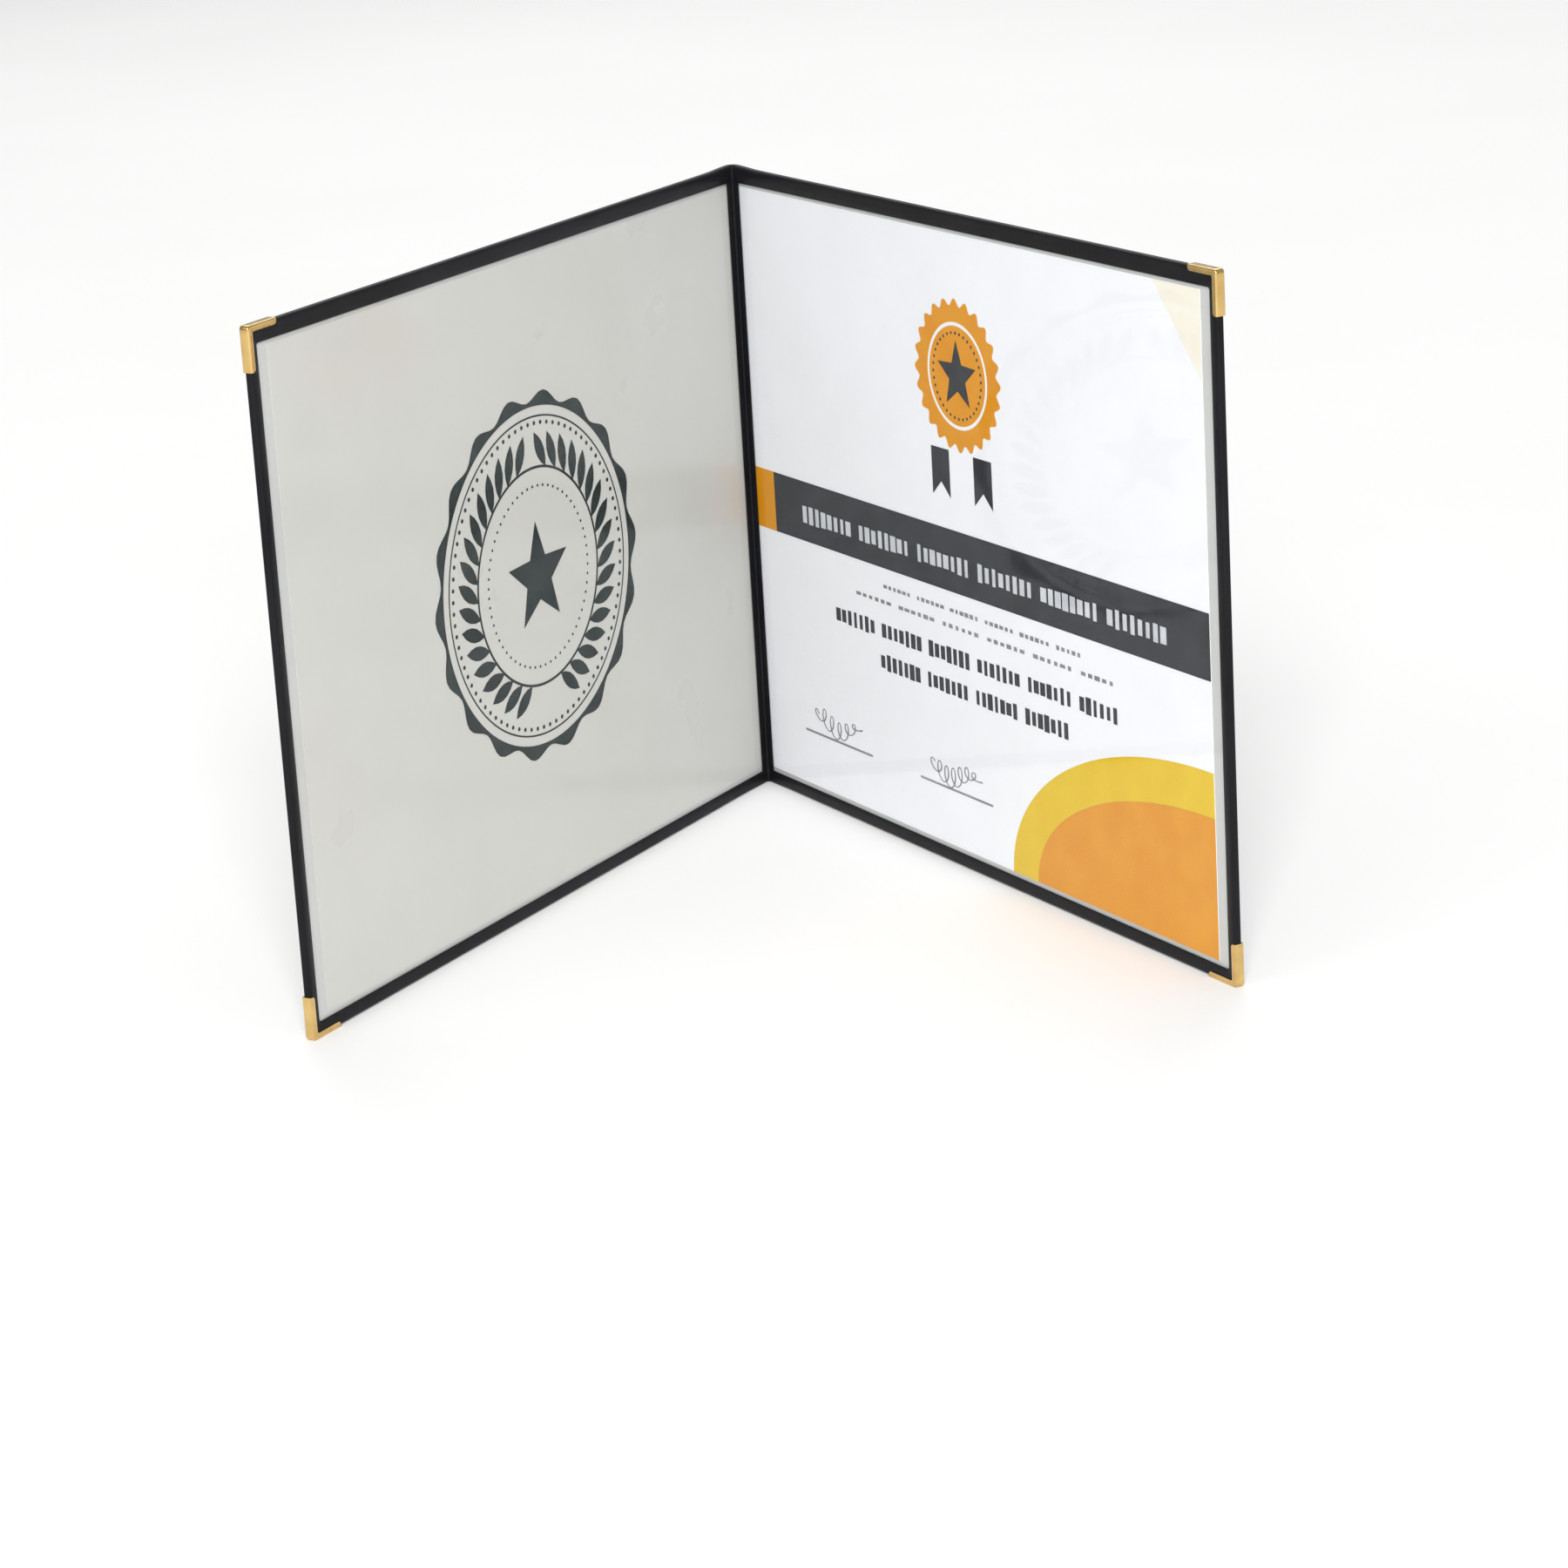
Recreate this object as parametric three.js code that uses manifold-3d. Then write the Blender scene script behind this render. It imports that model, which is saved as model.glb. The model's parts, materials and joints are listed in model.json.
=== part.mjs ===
// Diploma cover: two stiff landscape covers joined at a flexible spine, standing open as a V.
// Each cover is a board in a black vinyl skin, with a printed sheet behind a clear window, an
// edge binding round its three free sides and a brass corner clip on each outer corner.
// Lengths are in millimetres and +Z is up. The covers open towards -Y.

import * as THREE from 'three';
import { mergeVertices } from 'three/addons/utils/BufferGeometryUtils.js';
import Module from 'manifold-3d';

const wasm = await Module();
wasm.setup();

// Overall sizes of one cover, and how far the two stand open
const COVER_WIDTH = 291;
const COVER_HEIGHT = 229;
const OPENING_DEG = 60;

// A letter-size sheet, laid landscape
const SHEET_WIDTH = 279.4;
const SHEET_HEIGHT = 215.9;

// Thickness of each layer, from the inside of the cover to its outside
const WINDOW_THICK = 0.15;
const PRINT_THICK = 0.06;
const SHEET_THICK = 0.2;
const LINER_THICK = 0.15;
const BOARD_THICK = 0.9;
const SKIN_THICK = 0.3;
const LAYER_GAP = 0.05;

// Edge binding: a folded strip with a lip on each face
const BINDING_THICK = 0.3;
const BINDING_TOP = 5.6;
const BINDING_BOTTOM = 4.7;
const BINDING_FORE = 3.9;
const BINDING_CORNER_RADIUS = 2.4;

// Brass corner clips
const CLIP_THICK = 0.35;
const CLIP_LEG = 16.5;
const CLIP_FACE = 2.9;
const CLIP_END_RADIUS = 1.3;
const CLIP_INNER_RADIUS = 2.6;
const CLIP_OUTER_RADIUS = 2.8;
const CLIP_FIT = 0.06;

// Spine: the axis that the covers turn about, the inner hinge strip and the outer skin over it
const CLOSED_HALF_GAP = 0.2;
const HINGE_CLEARANCE = 0.2;
const BOARD_START = 1.5;
const HINGE_STRIP_ARM = 2.8;
const HINGE_STRIP_THICK = 0.3;
const SPINE_ARM = 8;
const SPINE_TURN_IN = 7;
const SPINE_JOINT_GAP = 0.3;
const SHEET_TUCK = 0.8;

// Seal printed on the sheet of the front cover
const SEAL_RIM_RADIUS = 61;
const SEAL_RIM_WAVE = 1.9;
const SEAL_SCALLOPS = 18;
const SEAL_DISC_RADIUS = 57.7;
const SEAL_LINE_RADIUS = 54.6;
const SEAL_LINE_WIDTH = 0.6;
const WREATH_RADIUS = 37.6;
const WREATH_STEM = 0.9;
const WREATH_LEAVES = 17;
const WREATH_OPEN_DEG = 14;
const LEAF_LENGTH = 14;
const LEAF_WIDTH = 5;
const LEAF_LEAN_DEG = 38;
const SEAL_STAR_RADIUS = 19;
const SEAL_STAR_POINTS = 5;
const SEAL_STAR_WAIST = 0.42;

// Certificate printed on the sheet of the back cover, measured from the sheet's lower left corner
const BAND_BASE = 92;
const BAND_HEIGHT = 22;
const BAND_END_WIDTH = 13;
const MEDAL_X = 139.7;
const MEDAL_Z = 168;
const MEDAL_RADIUS = 25;
const MEDAL_WAVE = 1.3;
const MEDAL_SCALLOPS = 24;
const MEDAL_CORE_RADIUS = 17;
const RIBBON_WIDTH = 11;
const RIBBON_DROP = 23;
const RIBBON_SPREAD = 13;
const RIBBON_NOTCH = 5;
const HEADING_X = 139.7;
const HEADING_WIDTHS = [176, 118];
const HEADING_TOP = 72;
const HEADING_HEIGHT = 6;
const HEADING_PITCH = 11.5;
const SIGN_RULE_WIDTH = 46;
const SIGN_RULE_HEIGHT = 0.8;
const SIGN_RULE_STARTS = [26, 104];
const SIGN_RULE_BASE = 20;
const CORNER_WIDTH = 118;
const CORNER_HEIGHT = 62;
const CORNER_STRIPE = 15;

// Foil blocked on the outside of the front cover, measured from the spine and the lower edge
const FOIL_THICK = 0.06;
const PLATE_X = 147.5;
const PLATE_Z = 152;
const PLATE_WIDTH = 96;
const PLATE_HEIGHT = 50;
const PLATE_FRAME = 1.6;
const PLATE_FRAME_GAP = 1.8;
const FOIL_RULE_X = 149;
const FOIL_RULE_Z = 49;
const FOIL_RULE_LENGTH = 234;
const FOIL_RULE_WIDTH = 1.1;

// Places that follow from the sizes above. Depth runs through a cover from the plane of the
// spine axis, which lies between the closed covers, towards the outside.
const HALF_OPENING = THREE.MathUtils.degToRad(OPENING_DEG / 2);
const CLIP_INNER_DEPTH = CLOSED_HALF_GAP;
const BINDING_INNER_DEPTH = CLIP_INNER_DEPTH + CLIP_THICK + CLIP_FIT;
const WINDOW_DEPTH = BINDING_INNER_DEPTH + BINDING_THICK + LAYER_GAP;
const PRINT_DEPTH = WINDOW_DEPTH + WINDOW_THICK + LAYER_GAP;
const SHEET_DEPTH = PRINT_DEPTH + PRINT_THICK + LAYER_GAP;
const LINER_DEPTH = SHEET_DEPTH + SHEET_THICK + LAYER_GAP;
const BOARD_DEPTH = LINER_DEPTH + LINER_THICK + LAYER_GAP;
const SKIN_DEPTH = BOARD_DEPTH + BOARD_THICK + LAYER_GAP;
const BINDING_OUTER_LIP_DEPTH = SKIN_DEPTH + SKIN_THICK + LAYER_GAP;
const BINDING_OUTER_DEPTH = BINDING_OUTER_LIP_DEPTH + BINDING_THICK;
const CLIP_OUTER_DEPTH = BINDING_OUTER_DEPTH + CLIP_FIT + CLIP_THICK;

const HINGE_STRIP_DEPTH = BINDING_INNER_DEPTH + HINGE_STRIP_THICK + LAYER_GAP;

const BASE = CLIP_THICK + CLIP_FIT;
const TOP = BASE + COVER_HEIGHT;
const FULL_HEIGHT = TOP + CLIP_FIT + CLIP_THICK;
const INSIDE = BINDING_THICK + LAYER_GAP;
const WINDOW_LOW = BASE + BINDING_BOTTOM;
const WINDOW_HIGH = TOP - BINDING_TOP;
const SHEET_START = HINGE_STRIP_ARM - SHEET_TUCK;
const SHEET_BASE = (WINDOW_LOW + WINDOW_HIGH - SHEET_HEIGHT) / 2;

// Steps of a curve in an outline; a round corner takes twice as many, and so does a full circle
const CORNER_STEPS = 5;
const CIRCLE_STEPS = 48;
const LEAF_STEPS = 5;

const FINISHES = {
  vinyl: { color: 0x18181b, roughness: 0.28, metalness: 0 },
  board: { color: 0x8d8679, roughness: 0.9, metalness: 0 },
  liner: { color: 0xdfe0dc, roughness: 0.7, metalness: 0 },
  greySheet: { color: 0xd2d3cd, roughness: 0.75, metalness: 0 },
  whiteSheet: { color: 0xeef0f2, roughness: 0.7, metalness: 0 },
  film: { color: 0xf4f8fa, roughness: 0.06, metalness: 0, transparent: true, opacity: 0.14 },
  brass: { color: 0xd6ab56, roughness: 0.27, metalness: 1 },
  darkInk: { color: 0x1b2422, roughness: 0.6, metalness: 0 },
  charcoalInk: { color: 0x3a3c42, roughness: 0.6, metalness: 0 },
  orangeInk: { color: 0xf2a63a, roughness: 0.6, metalness: 0 },
  yellowInk: { color: 0xf9c822, roughness: 0.6, metalness: 0 },
  greyInk: { color: 0x6f7276, roughness: 0.6, metalness: 0 },
  goldFoil: { color: 0xc9a766, roughness: 0.32, metalness: 0.9 },
};

const solidOf = (geometry) => {
  const shell = geometry.clone();
  shell.deleteAttribute('normal');
  shell.deleteAttribute('uv');
  const merged = mergeVertices(shell, 1e-5);
  const mesh = new wasm.Mesh({
    numProp: 3,
    vertProperties: new Float32Array(merged.attributes.position.array),
    triVerts: new Uint32Array(merged.index.array),
  });
  return new wasm.Manifold(mesh);
};

const geometryOf = (solid) => {
  const { vertProperties, triVerts } = solid.getMesh();
  const geometry = new THREE.BufferGeometry();
  geometry.setAttribute('position', new THREE.BufferAttribute(new Float32Array(vertProperties), 3));
  geometry.setIndex(new THREE.BufferAttribute(new Uint32Array(triVerts), 1));
  geometry.computeVertexNormals();
  return geometry;
};

// A closed outline through corners [x, y, radius], each rounded by a true arc
const outline = (corners) => {
  const shape = new THREE.Shape();
  corners.forEach(([x, y, radius = 0], index) => {
    const corner = new THREE.Vector2(x, y);
    const [beforeX, beforeY] = corners.at(index - 1);
    const [afterX, afterY] = corners[(index + 1) % corners.length];
    const before = new THREE.Vector2(beforeX, beforeY).sub(corner).normalize();
    const after = new THREE.Vector2(afterX, afterY).sub(corner).normalize();
    const start = index === 0 ? 'moveTo' : 'lineTo';
    if (radius === 0) {
      shape[start](x, y);
      return;
    }
    const halfAngle = Math.acos(THREE.MathUtils.clamp(before.dot(after), -1, 1)) / 2;
    const reach = radius / Math.tan(halfAngle);
    const inwards = before.clone().add(after).normalize();
    const middle = inwards.multiplyScalar(radius / Math.sin(halfAngle)).add(corner);
    const from = before.clone().multiplyScalar(reach).add(corner);
    const to = after.clone().multiplyScalar(reach).add(corner);
    shape[start](from.x, from.y);
    const fromAngle = Math.atan2(from.y - middle.y, from.x - middle.x);
    const toAngle = Math.atan2(to.y - middle.y, to.x - middle.x);
    shape.absarc(middle.x, middle.y, radius, fromAngle, toAngle, before.cross(after) > 0);
  });
  shape.closePath();
  return shape;
};

const rectangle = (x0, x1, y0, y1) => outline([[x0, y0], [x1, y0], [x1, y1], [x0, y1]]);

// A disc whose rim waves in and out
const wavyOutline = (x, y, radius, wave, lobes) => {
  const steps = lobes * 8;
  const points = Array.from({ length: steps }, (_, index) => {
    const angle = (index / steps) * Math.PI * 2;
    const reach = radius + wave * Math.cos(lobes * angle);
    return new THREE.Vector2(x + reach * Math.cos(angle), y + reach * Math.sin(angle));
  });
  return new THREE.Shape(points);
};

const circleHole = (x, y, radius) => new THREE.Path().absarc(x, y, radius, 0, Math.PI * 2, true);

// One cover and its local frame: x runs from the spine to the fore-edge, z is up and depth runs
// outwards, along +y where outward is 1 and along -y where it is -1.
class Cover {
  constructor(name, outward) {
    this.name = name;
    this.outward = outward;
    this.group = new THREE.Group();
    this.group.rotation.z = outward > 0 ? HALF_OPENING - Math.PI / 2 : -HALF_OPENING - Math.PI / 2;
  }

  // Stands an outline drawn in x and z up between two depths
  plate(shape, fromDepth, toDepth, curveSegments = CORNER_STEPS) {
    const settings = { depth: toDepth - fromDepth, bevelEnabled: false, curveSegments };
    const geometry = new THREE.ExtrudeGeometry(shape, settings);
    geometry.rotateX(Math.PI / 2);
    geometry.translate(0, this.outward > 0 ? toDepth : -fromDepth, 0);
    return geometry;
  }

  add(piece, geometry, finish) {
    const mesh = new THREE.Mesh(geometry, new THREE.MeshStandardMaterial(FINISHES[finish]));
    mesh.name = `${this.name}_${piece}`;
    this.group.add(mesh);
    return mesh;
  }

  addLayer(piece, shape, depth, thick, finish) {
    return this.add(piece, this.plate(shape, depth, depth + thick), finish);
  }

  // The cover's outline set in from its edges, square at the spine and round at the fore-edge
  insetOutline(start, inset) {
    const radius = BINDING_CORNER_RADIUS - inset;
    const end = COVER_WIDTH - inset;
    const low = BASE + inset;
    const high = TOP - inset;
    return outline([[start, low], [end, low, radius], [end, high, radius], [start, high]]);
  }

  addLayers(sheetFinish) {
    const inside = this.insetOutline(BOARD_START, INSIDE);
    const skin = this.insetOutline(SPINE_ARM + SPINE_JOINT_GAP, INSIDE);
    const sheetEnd = SHEET_START + SHEET_WIDTH;
    const sheet = rectangle(SHEET_START, sheetEnd, SHEET_BASE, SHEET_BASE + SHEET_HEIGHT);
    this.addLayer('outer_skin', skin, SKIN_DEPTH, SKIN_THICK, 'vinyl');
    this.addLayer('board', inside, BOARD_DEPTH, BOARD_THICK, 'board');
    this.addLayer('liner', inside, LINER_DEPTH, LINER_THICK, 'liner');
    this.addLayer('sheet', sheet, SHEET_DEPTH, SHEET_THICK, sheetFinish);
    this.addLayer('window', inside, WINDOW_DEPTH, WINDOW_THICK, 'film');
  }

  // The whole outside of the bound cover, grown on every side by a given amount
  boundSlab(grow) {
    const shape = this.insetOutline(HINGE_CLEARANCE, -grow);
    return solidOf(this.plate(shape, BINDING_INNER_DEPTH - grow, BINDING_OUTER_DEPTH + grow));
  }

  // A strip folded over the three free edges: a slab less the pocket and the two windows
  addBinding() {
    const past = -COVER_WIDTH / 10;
    const lipStart = BINDING_INNER_DEPTH + BINDING_THICK;
    const pocketShape = this.insetOutline(past, BINDING_THICK);
    const pocket = solidOf(this.plate(pocketShape, lipStart, BINDING_OUTER_LIP_DEPTH));
    const faceRadius = BINDING_CORNER_RADIUS / 3;
    const faceEnd = COVER_WIDTH - BINDING_FORE;
    const faceShape = outline([
      [past, WINDOW_LOW],
      [faceEnd, WINDOW_LOW, faceRadius],
      [faceEnd, WINDOW_HIGH, faceRadius],
      [past, WINDOW_HIGH],
    ]);
    const face = solidOf(this.plate(faceShape, 0, CLIP_OUTER_DEPTH));
    const binding = this.boundSlab(0).subtract(pocket).subtract(face);
    this.add('edge_binding', geometryOf(binding), 'vinyl');
  }

  // A brass clip: an L pressed over the corner, open where the bound cover sits in it
  addClip(piece, cornerZ, upward) {
    const edge = COVER_WIDTH + CLIP_FIT + CLIP_THICK;
    const width = CLIP_FACE + CLIP_FIT + CLIP_THICK;
    const place = (along, up, radius) => [edge - along, cornerZ + upward * up, radius];
    const shape = outline([
      place(0, 0, CLIP_OUTER_RADIUS),
      place(CLIP_LEG, 0, CLIP_END_RADIUS),
      place(CLIP_LEG, width, CLIP_END_RADIUS),
      place(width, width, CLIP_INNER_RADIUS),
      place(width, CLIP_LEG, CLIP_END_RADIUS),
      place(0, CLIP_LEG, CLIP_END_RADIUS),
    ]);
    const body = solidOf(this.plate(shape, CLIP_INNER_DEPTH, CLIP_OUTER_DEPTH));
    this.add(piece, geometryOf(body.subtract(this.boundSlab(CLIP_FIT))), 'brass');
  }

  build(sheetFinish) {
    this.addLayers(sheetFinish);
    this.addBinding();
    this.addClip('bottom_clip', 0, 1);
    this.addClip('top_clip', FULL_HEIGHT, -1);
  }

  // The solid of a field of print
  inked(shape, steps = CIRCLE_STEPS) {
    return this.plate(shape, PRINT_DEPTH, PRINT_DEPTH + PRINT_THICK, steps);
  }

  print(piece, shape, finish) {
    return this.add(piece, this.inked(shape), finish);
  }

  foil(piece, shape) {
    const depth = SKIN_DEPTH + SKIN_THICK + LAYER_GAP;
    return this.addLayer(piece, shape, depth, FOIL_THICK, 'goldFoil');
  }
}

// A ring stem with leaves that climb from the foot up both sides and leave the top open
const wreath = (cover, x, z) => {
  const stem = new THREE.Shape().absarc(x, z, WREATH_RADIUS, 0, Math.PI * 2);
  stem.holes.push(circleHole(x, z, WREATH_RADIUS - WREATH_STEM));
  const root = WREATH_RADIUS - WREATH_STEM / 2;
  const leafSweep = Math.PI - 2 * THREE.MathUtils.degToRad(WREATH_OPEN_DEG);
  const solids = [solidOf(cover.inked(stem))];
  [-1, 1].forEach((side) => {
    for (let index = 0; index < WREATH_LEAVES; index += 1) {
      const climbed = (leafSweep * index) / (WREATH_LEAVES - 1) + THREE.MathUtils.degToRad(WREATH_OPEN_DEG);
      const around = side * climbed - Math.PI / 2;
      const lean = around + side * THREE.MathUtils.degToRad(LEAF_LEAN_DEG);
      const foot = new THREE.Vector2(x + root * Math.cos(around), z + root * Math.sin(around));
      const place = (forward, across) => [
        foot.x + forward * Math.cos(lean) - across * Math.sin(lean),
        foot.y + forward * Math.sin(lean) + across * Math.cos(lean),
      ];
      const leaf = new THREE.Shape();
      leaf.moveTo(...place(0, 0));
      leaf.quadraticCurveTo(...place(LEAF_LENGTH / 2, LEAF_WIDTH), ...place(LEAF_LENGTH, 0));
      leaf.quadraticCurveTo(...place(LEAF_LENGTH / 2, -LEAF_WIDTH), ...place(0, 0));
      solids.push(solidOf(cover.inked(leaf, LEAF_STEPS)));
    }
  });
  return wasm.Manifold.union(solids);
};

// A rosette seal: scalloped rim, a line ring, a wreath and a star
const printSeal = (cover) => {
  const x = SHEET_START + SHEET_WIDTH / 2;
  const z = SHEET_BASE + SHEET_HEIGHT / 2;
  const rim = wavyOutline(x, z, SEAL_RIM_RADIUS, SEAL_RIM_WAVE, SEAL_SCALLOPS);
  rim.holes.push(circleHole(x, z, SEAL_DISC_RADIUS));
  cover.print('seal_rim', rim, 'darkInk');

  const line = new THREE.Shape().absarc(x, z, SEAL_LINE_RADIUS, 0, Math.PI * 2);
  line.holes.push(circleHole(x, z, SEAL_LINE_RADIUS - SEAL_LINE_WIDTH));
  cover.print('seal_line', line, 'darkInk');

  cover.add('seal_wreath', geometryOf(wreath(cover, x, z)), 'darkInk');

  const star = new THREE.Shape(Array.from({ length: SEAL_STAR_POINTS * 2 }, (_, index) => {
    const angle = Math.PI / 2 + (index / SEAL_STAR_POINTS) * Math.PI;
    const radius = SEAL_STAR_RADIUS * (index % 2 === 0 ? 1 : SEAL_STAR_WAIST);
    return new THREE.Vector2(x + radius * Math.cos(angle), z + radius * Math.sin(angle));
  }));
  cover.print('seal_star', star, 'darkInk');
};

// A plain certificate: medal with ribbon tails, heading bars, a band, signing rules and a corner
const printCertificate = (cover) => {
  const left = SHEET_START;
  const right = SHEET_START + SHEET_WIDTH;
  const low = SHEET_BASE;
  const bandLow = low + BAND_BASE;
  const bandHigh = bandLow + BAND_HEIGHT;
  const bandStart = left + BAND_END_WIDTH;
  cover.print('band', rectangle(bandStart + LAYER_GAP, right, bandLow, bandHigh), 'charcoalInk');
  cover.print('band_end', rectangle(left, bandStart, bandLow, bandHigh), 'orangeInk');

  const medalX = left + MEDAL_X;
  const medalZ = low + MEDAL_Z;
  const ring = wavyOutline(medalX, medalZ, MEDAL_RADIUS, MEDAL_WAVE, MEDAL_SCALLOPS);
  ring.holes.push(circleHole(medalX, medalZ, MEDAL_CORE_RADIUS + MEDAL_WAVE));
  cover.print('medal_ring', ring, 'orangeInk');
  const core = new THREE.Shape().absarc(medalX, medalZ, MEDAL_CORE_RADIUS, 0, Math.PI * 2);
  cover.print('medal_core', core, 'orangeInk');
  [-1, 1].forEach((side) => {
    const reach = MEDAL_RADIUS + MEDAL_WAVE + LAYER_GAP;
    const across = (offset) => medalX + side * offset;
    const inner = RIBBON_SPREAD - RIBBON_WIDTH / 2;
    const outer = RIBBON_SPREAD + RIBBON_WIDTH / 2;
    const tailLow = medalZ - MEDAL_RADIUS - RIBBON_DROP + RIBBON_NOTCH;
    const ribbon = outline([
      [across(inner), medalZ - reach],
      [across(inner), tailLow],
      [across(RIBBON_SPREAD), tailLow + RIBBON_NOTCH],
      [across(outer), tailLow],
      [across(outer), medalZ - reach],
    ]);
    const name = side < 0 ? 'ribbon_left' : 'ribbon_right';
    cover.print(name, ribbon, 'charcoalInk');
  });

  HEADING_WIDTHS.forEach((width, row) => {
    const middle = left + HEADING_X;
    const high = low + HEADING_TOP - row * HEADING_PITCH;
    const bar = rectangle(middle - width / 2, middle + width / 2, high - HEADING_HEIGHT, high);
    cover.print(`heading_${row + 1}`, bar, 'charcoalInk');
  });

  const ruleLow = low + SIGN_RULE_BASE;
  SIGN_RULE_STARTS.forEach((start, index) => {
    const ruleStart = left + start;
    const rule = rectangle(ruleStart, ruleStart + SIGN_RULE_WIDTH, ruleLow, ruleLow + SIGN_RULE_HEIGHT);
    cover.print(`sign_rule_${index + 1}`, rule, 'greyInk');
  });

  const fanWidth = CORNER_WIDTH - CORNER_STRIPE;
  const fanHeight = CORNER_HEIGHT - CORNER_STRIPE;
  const stripe = new THREE.Shape();
  stripe.moveTo(right - fanWidth, low);
  stripe.absellipse(right, low, fanWidth, fanHeight, Math.PI, Math.PI / 2, true);
  stripe.absellipse(right, low, CORNER_WIDTH, CORNER_HEIGHT, Math.PI / 2, Math.PI, false);
  stripe.closePath();
  cover.print('corner_stripe', stripe, 'yellowInk');
  const fanReach = fanWidth - LAYER_GAP;
  const fanRise = fanHeight - LAYER_GAP;
  const fan = new THREE.Shape();
  fan.moveTo(right, low);
  fan.lineTo(right, low + fanRise);
  fan.absellipse(right, low, fanReach, fanRise, Math.PI / 2, Math.PI, false);
  fan.closePath();
  cover.print('corner_fan', fan, 'orangeInk');
};

// Foil on the outside of the front cover: a plate in a thin frame, and a long rule
const blockFoil = (cover) => {
  const halfWidth = PLATE_WIDTH / 2;
  const halfHeight = PLATE_HEIGHT / 2;
  const centred = (grow) => [PLATE_X - halfWidth - grow, PLATE_X + halfWidth + grow,
    PLATE_Z - halfHeight - grow, PLATE_Z + halfHeight + grow];
  cover.foil('foil_plate', rectangle(...centred(0)));
  const frame = rectangle(...centred(PLATE_FRAME_GAP + PLATE_FRAME));
  frame.holes.push(rectangle(...centred(PLATE_FRAME_GAP)));
  cover.foil('foil_frame', frame);
  const ruleStart = FOIL_RULE_X - FOIL_RULE_LENGTH / 2;
  const ruleHigh = FOIL_RULE_Z + FOIL_RULE_WIDTH;
  cover.foil('foil_rule', rectangle(ruleStart, ruleStart + FOIL_RULE_LENGTH, FOIL_RULE_Z, ruleHigh));
};

// A point of the back cover's section at rest, seen from above: along it from the spine, and
// through it. The front cover's is its mirror image.
const sectionPoint = (along, depth, side) => {
  const x = along * Math.sin(HALF_OPENING) + depth * Math.cos(HALF_OPENING);
  const y = -along * Math.cos(HALF_OPENING) + depth * Math.sin(HALF_OPENING);
  return [side * x, y];
};

// A strip that lies on both covers between two depths and rolls round the spine axis from one to
// the other, seen from above. With no arm it is only the roll.
const rolledStrip = (arm, fromDepth, toDepth) => {
  const shape = new THREE.Shape();
  if (arm > 0) {
    shape.moveTo(...sectionPoint(arm, fromDepth, 1));
    shape.lineTo(...sectionPoint(arm, toDepth, 1));
  }
  shape.absarc(0, 0, toDepth, HALF_OPENING, Math.PI - HALF_OPENING, false);
  if (arm > 0) {
    shape.lineTo(...sectionPoint(arm, toDepth, -1));
    shape.lineTo(...sectionPoint(arm, fromDepth, -1));
  }
  shape.absarc(0, 0, fromDepth, Math.PI - HALF_OPENING, HALF_OPENING, true);
  shape.closePath();
  return shape;
};

const upright = (shape, low, high) => {
  const settings = { depth: high - low, bevelEnabled: false, curveSegments: CORNER_STEPS };
  return new THREE.ExtrudeGeometry(shape, settings).translate(0, 0, low);
};

const spineMesh = (name, geometry) => {
  const mesh = new THREE.Mesh(geometry, new THREE.MeshStandardMaterial(FINISHES.vinyl));
  mesh.name = name;
  return mesh;
};

// The skin over the spine: it rolls from cover to cover, and its turned-in head and tail fill the
// fold between the bindings
const spineSkin = () => {
  const section = rolledStrip(SPINE_ARM, SKIN_DEPTH, SKIN_DEPTH + SKIN_THICK);
  const strip = solidOf(upright(section, BASE + INSIDE, TOP - INSIDE));
  const turnedIn = rolledStrip(0, HINGE_STRIP_DEPTH, BINDING_OUTER_DEPTH);
  const tail = solidOf(upright(turnedIn, 0, SPINE_TURN_IN));
  const head = solidOf(upright(turnedIn, FULL_HEIGHT - SPINE_TURN_IN, FULL_HEIGHT));
  return geometryOf(strip.add(tail).add(head));
};

// The narrow strip that covers the fold between the two windows
const hingeStrip = () => {
  const section = rolledStrip(HINGE_STRIP_ARM, BINDING_INNER_DEPTH, HINGE_STRIP_DEPTH - LAYER_GAP);
  return upright(section, WINDOW_LOW + LAYER_GAP, WINDOW_HIGH - LAYER_GAP);
};

const diplomaCover = () => {
  const front = new Cover('front', -1);
  front.build('greySheet');
  printSeal(front);
  blockFoil(front);
  const back = new Cover('back', 1);
  back.build('whiteSheet');
  printCertificate(back);

  const model = new THREE.Group();
  model.add(front.group, back.group);
  model.add(spineMesh('spine_skin', spineSkin()), spineMesh('hinge_strip', hingeStrip()));

  // The origin is on the surface it stands on, at the middle of the box round the open cover
  const middle = new THREE.Box3().setFromObject(model, true).getCenter(new THREE.Vector3());
  model.position.set(-middle.x, -middle.y, 0);
  return model;
};

export default diplomaCover();
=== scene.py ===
"""An open diploma cover, dressed round its construction model.

Two landscape covers in glossy black vinyl stand open as a V. Each holds a printed sheet behind a
clear window, has a binding folded over its edges and a brass clip on each outer corner. The skin,
the binding and the hinge strip are one length each that rolls round the spine, so they bend there.

Lengths are in metres in the frame's own axes: +Z up, the covers opening towards -Y. A flat point
is given as (reach, depth, up): reach runs along the unrolled cover, below zero on the front cover
and above it on the back one, and depth runs from the spine axis's plane towards the outside.
"""

import json
import logging
import math
from dataclasses import dataclass, field, replace
from enum import Enum
from typing import Iterable, Sequence

import bmesh
import bpy
import numpy as np
from bpy.types import Material, Mesh, Node, NodeSocket, Object
from mathutils import Matrix, Vector


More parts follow.
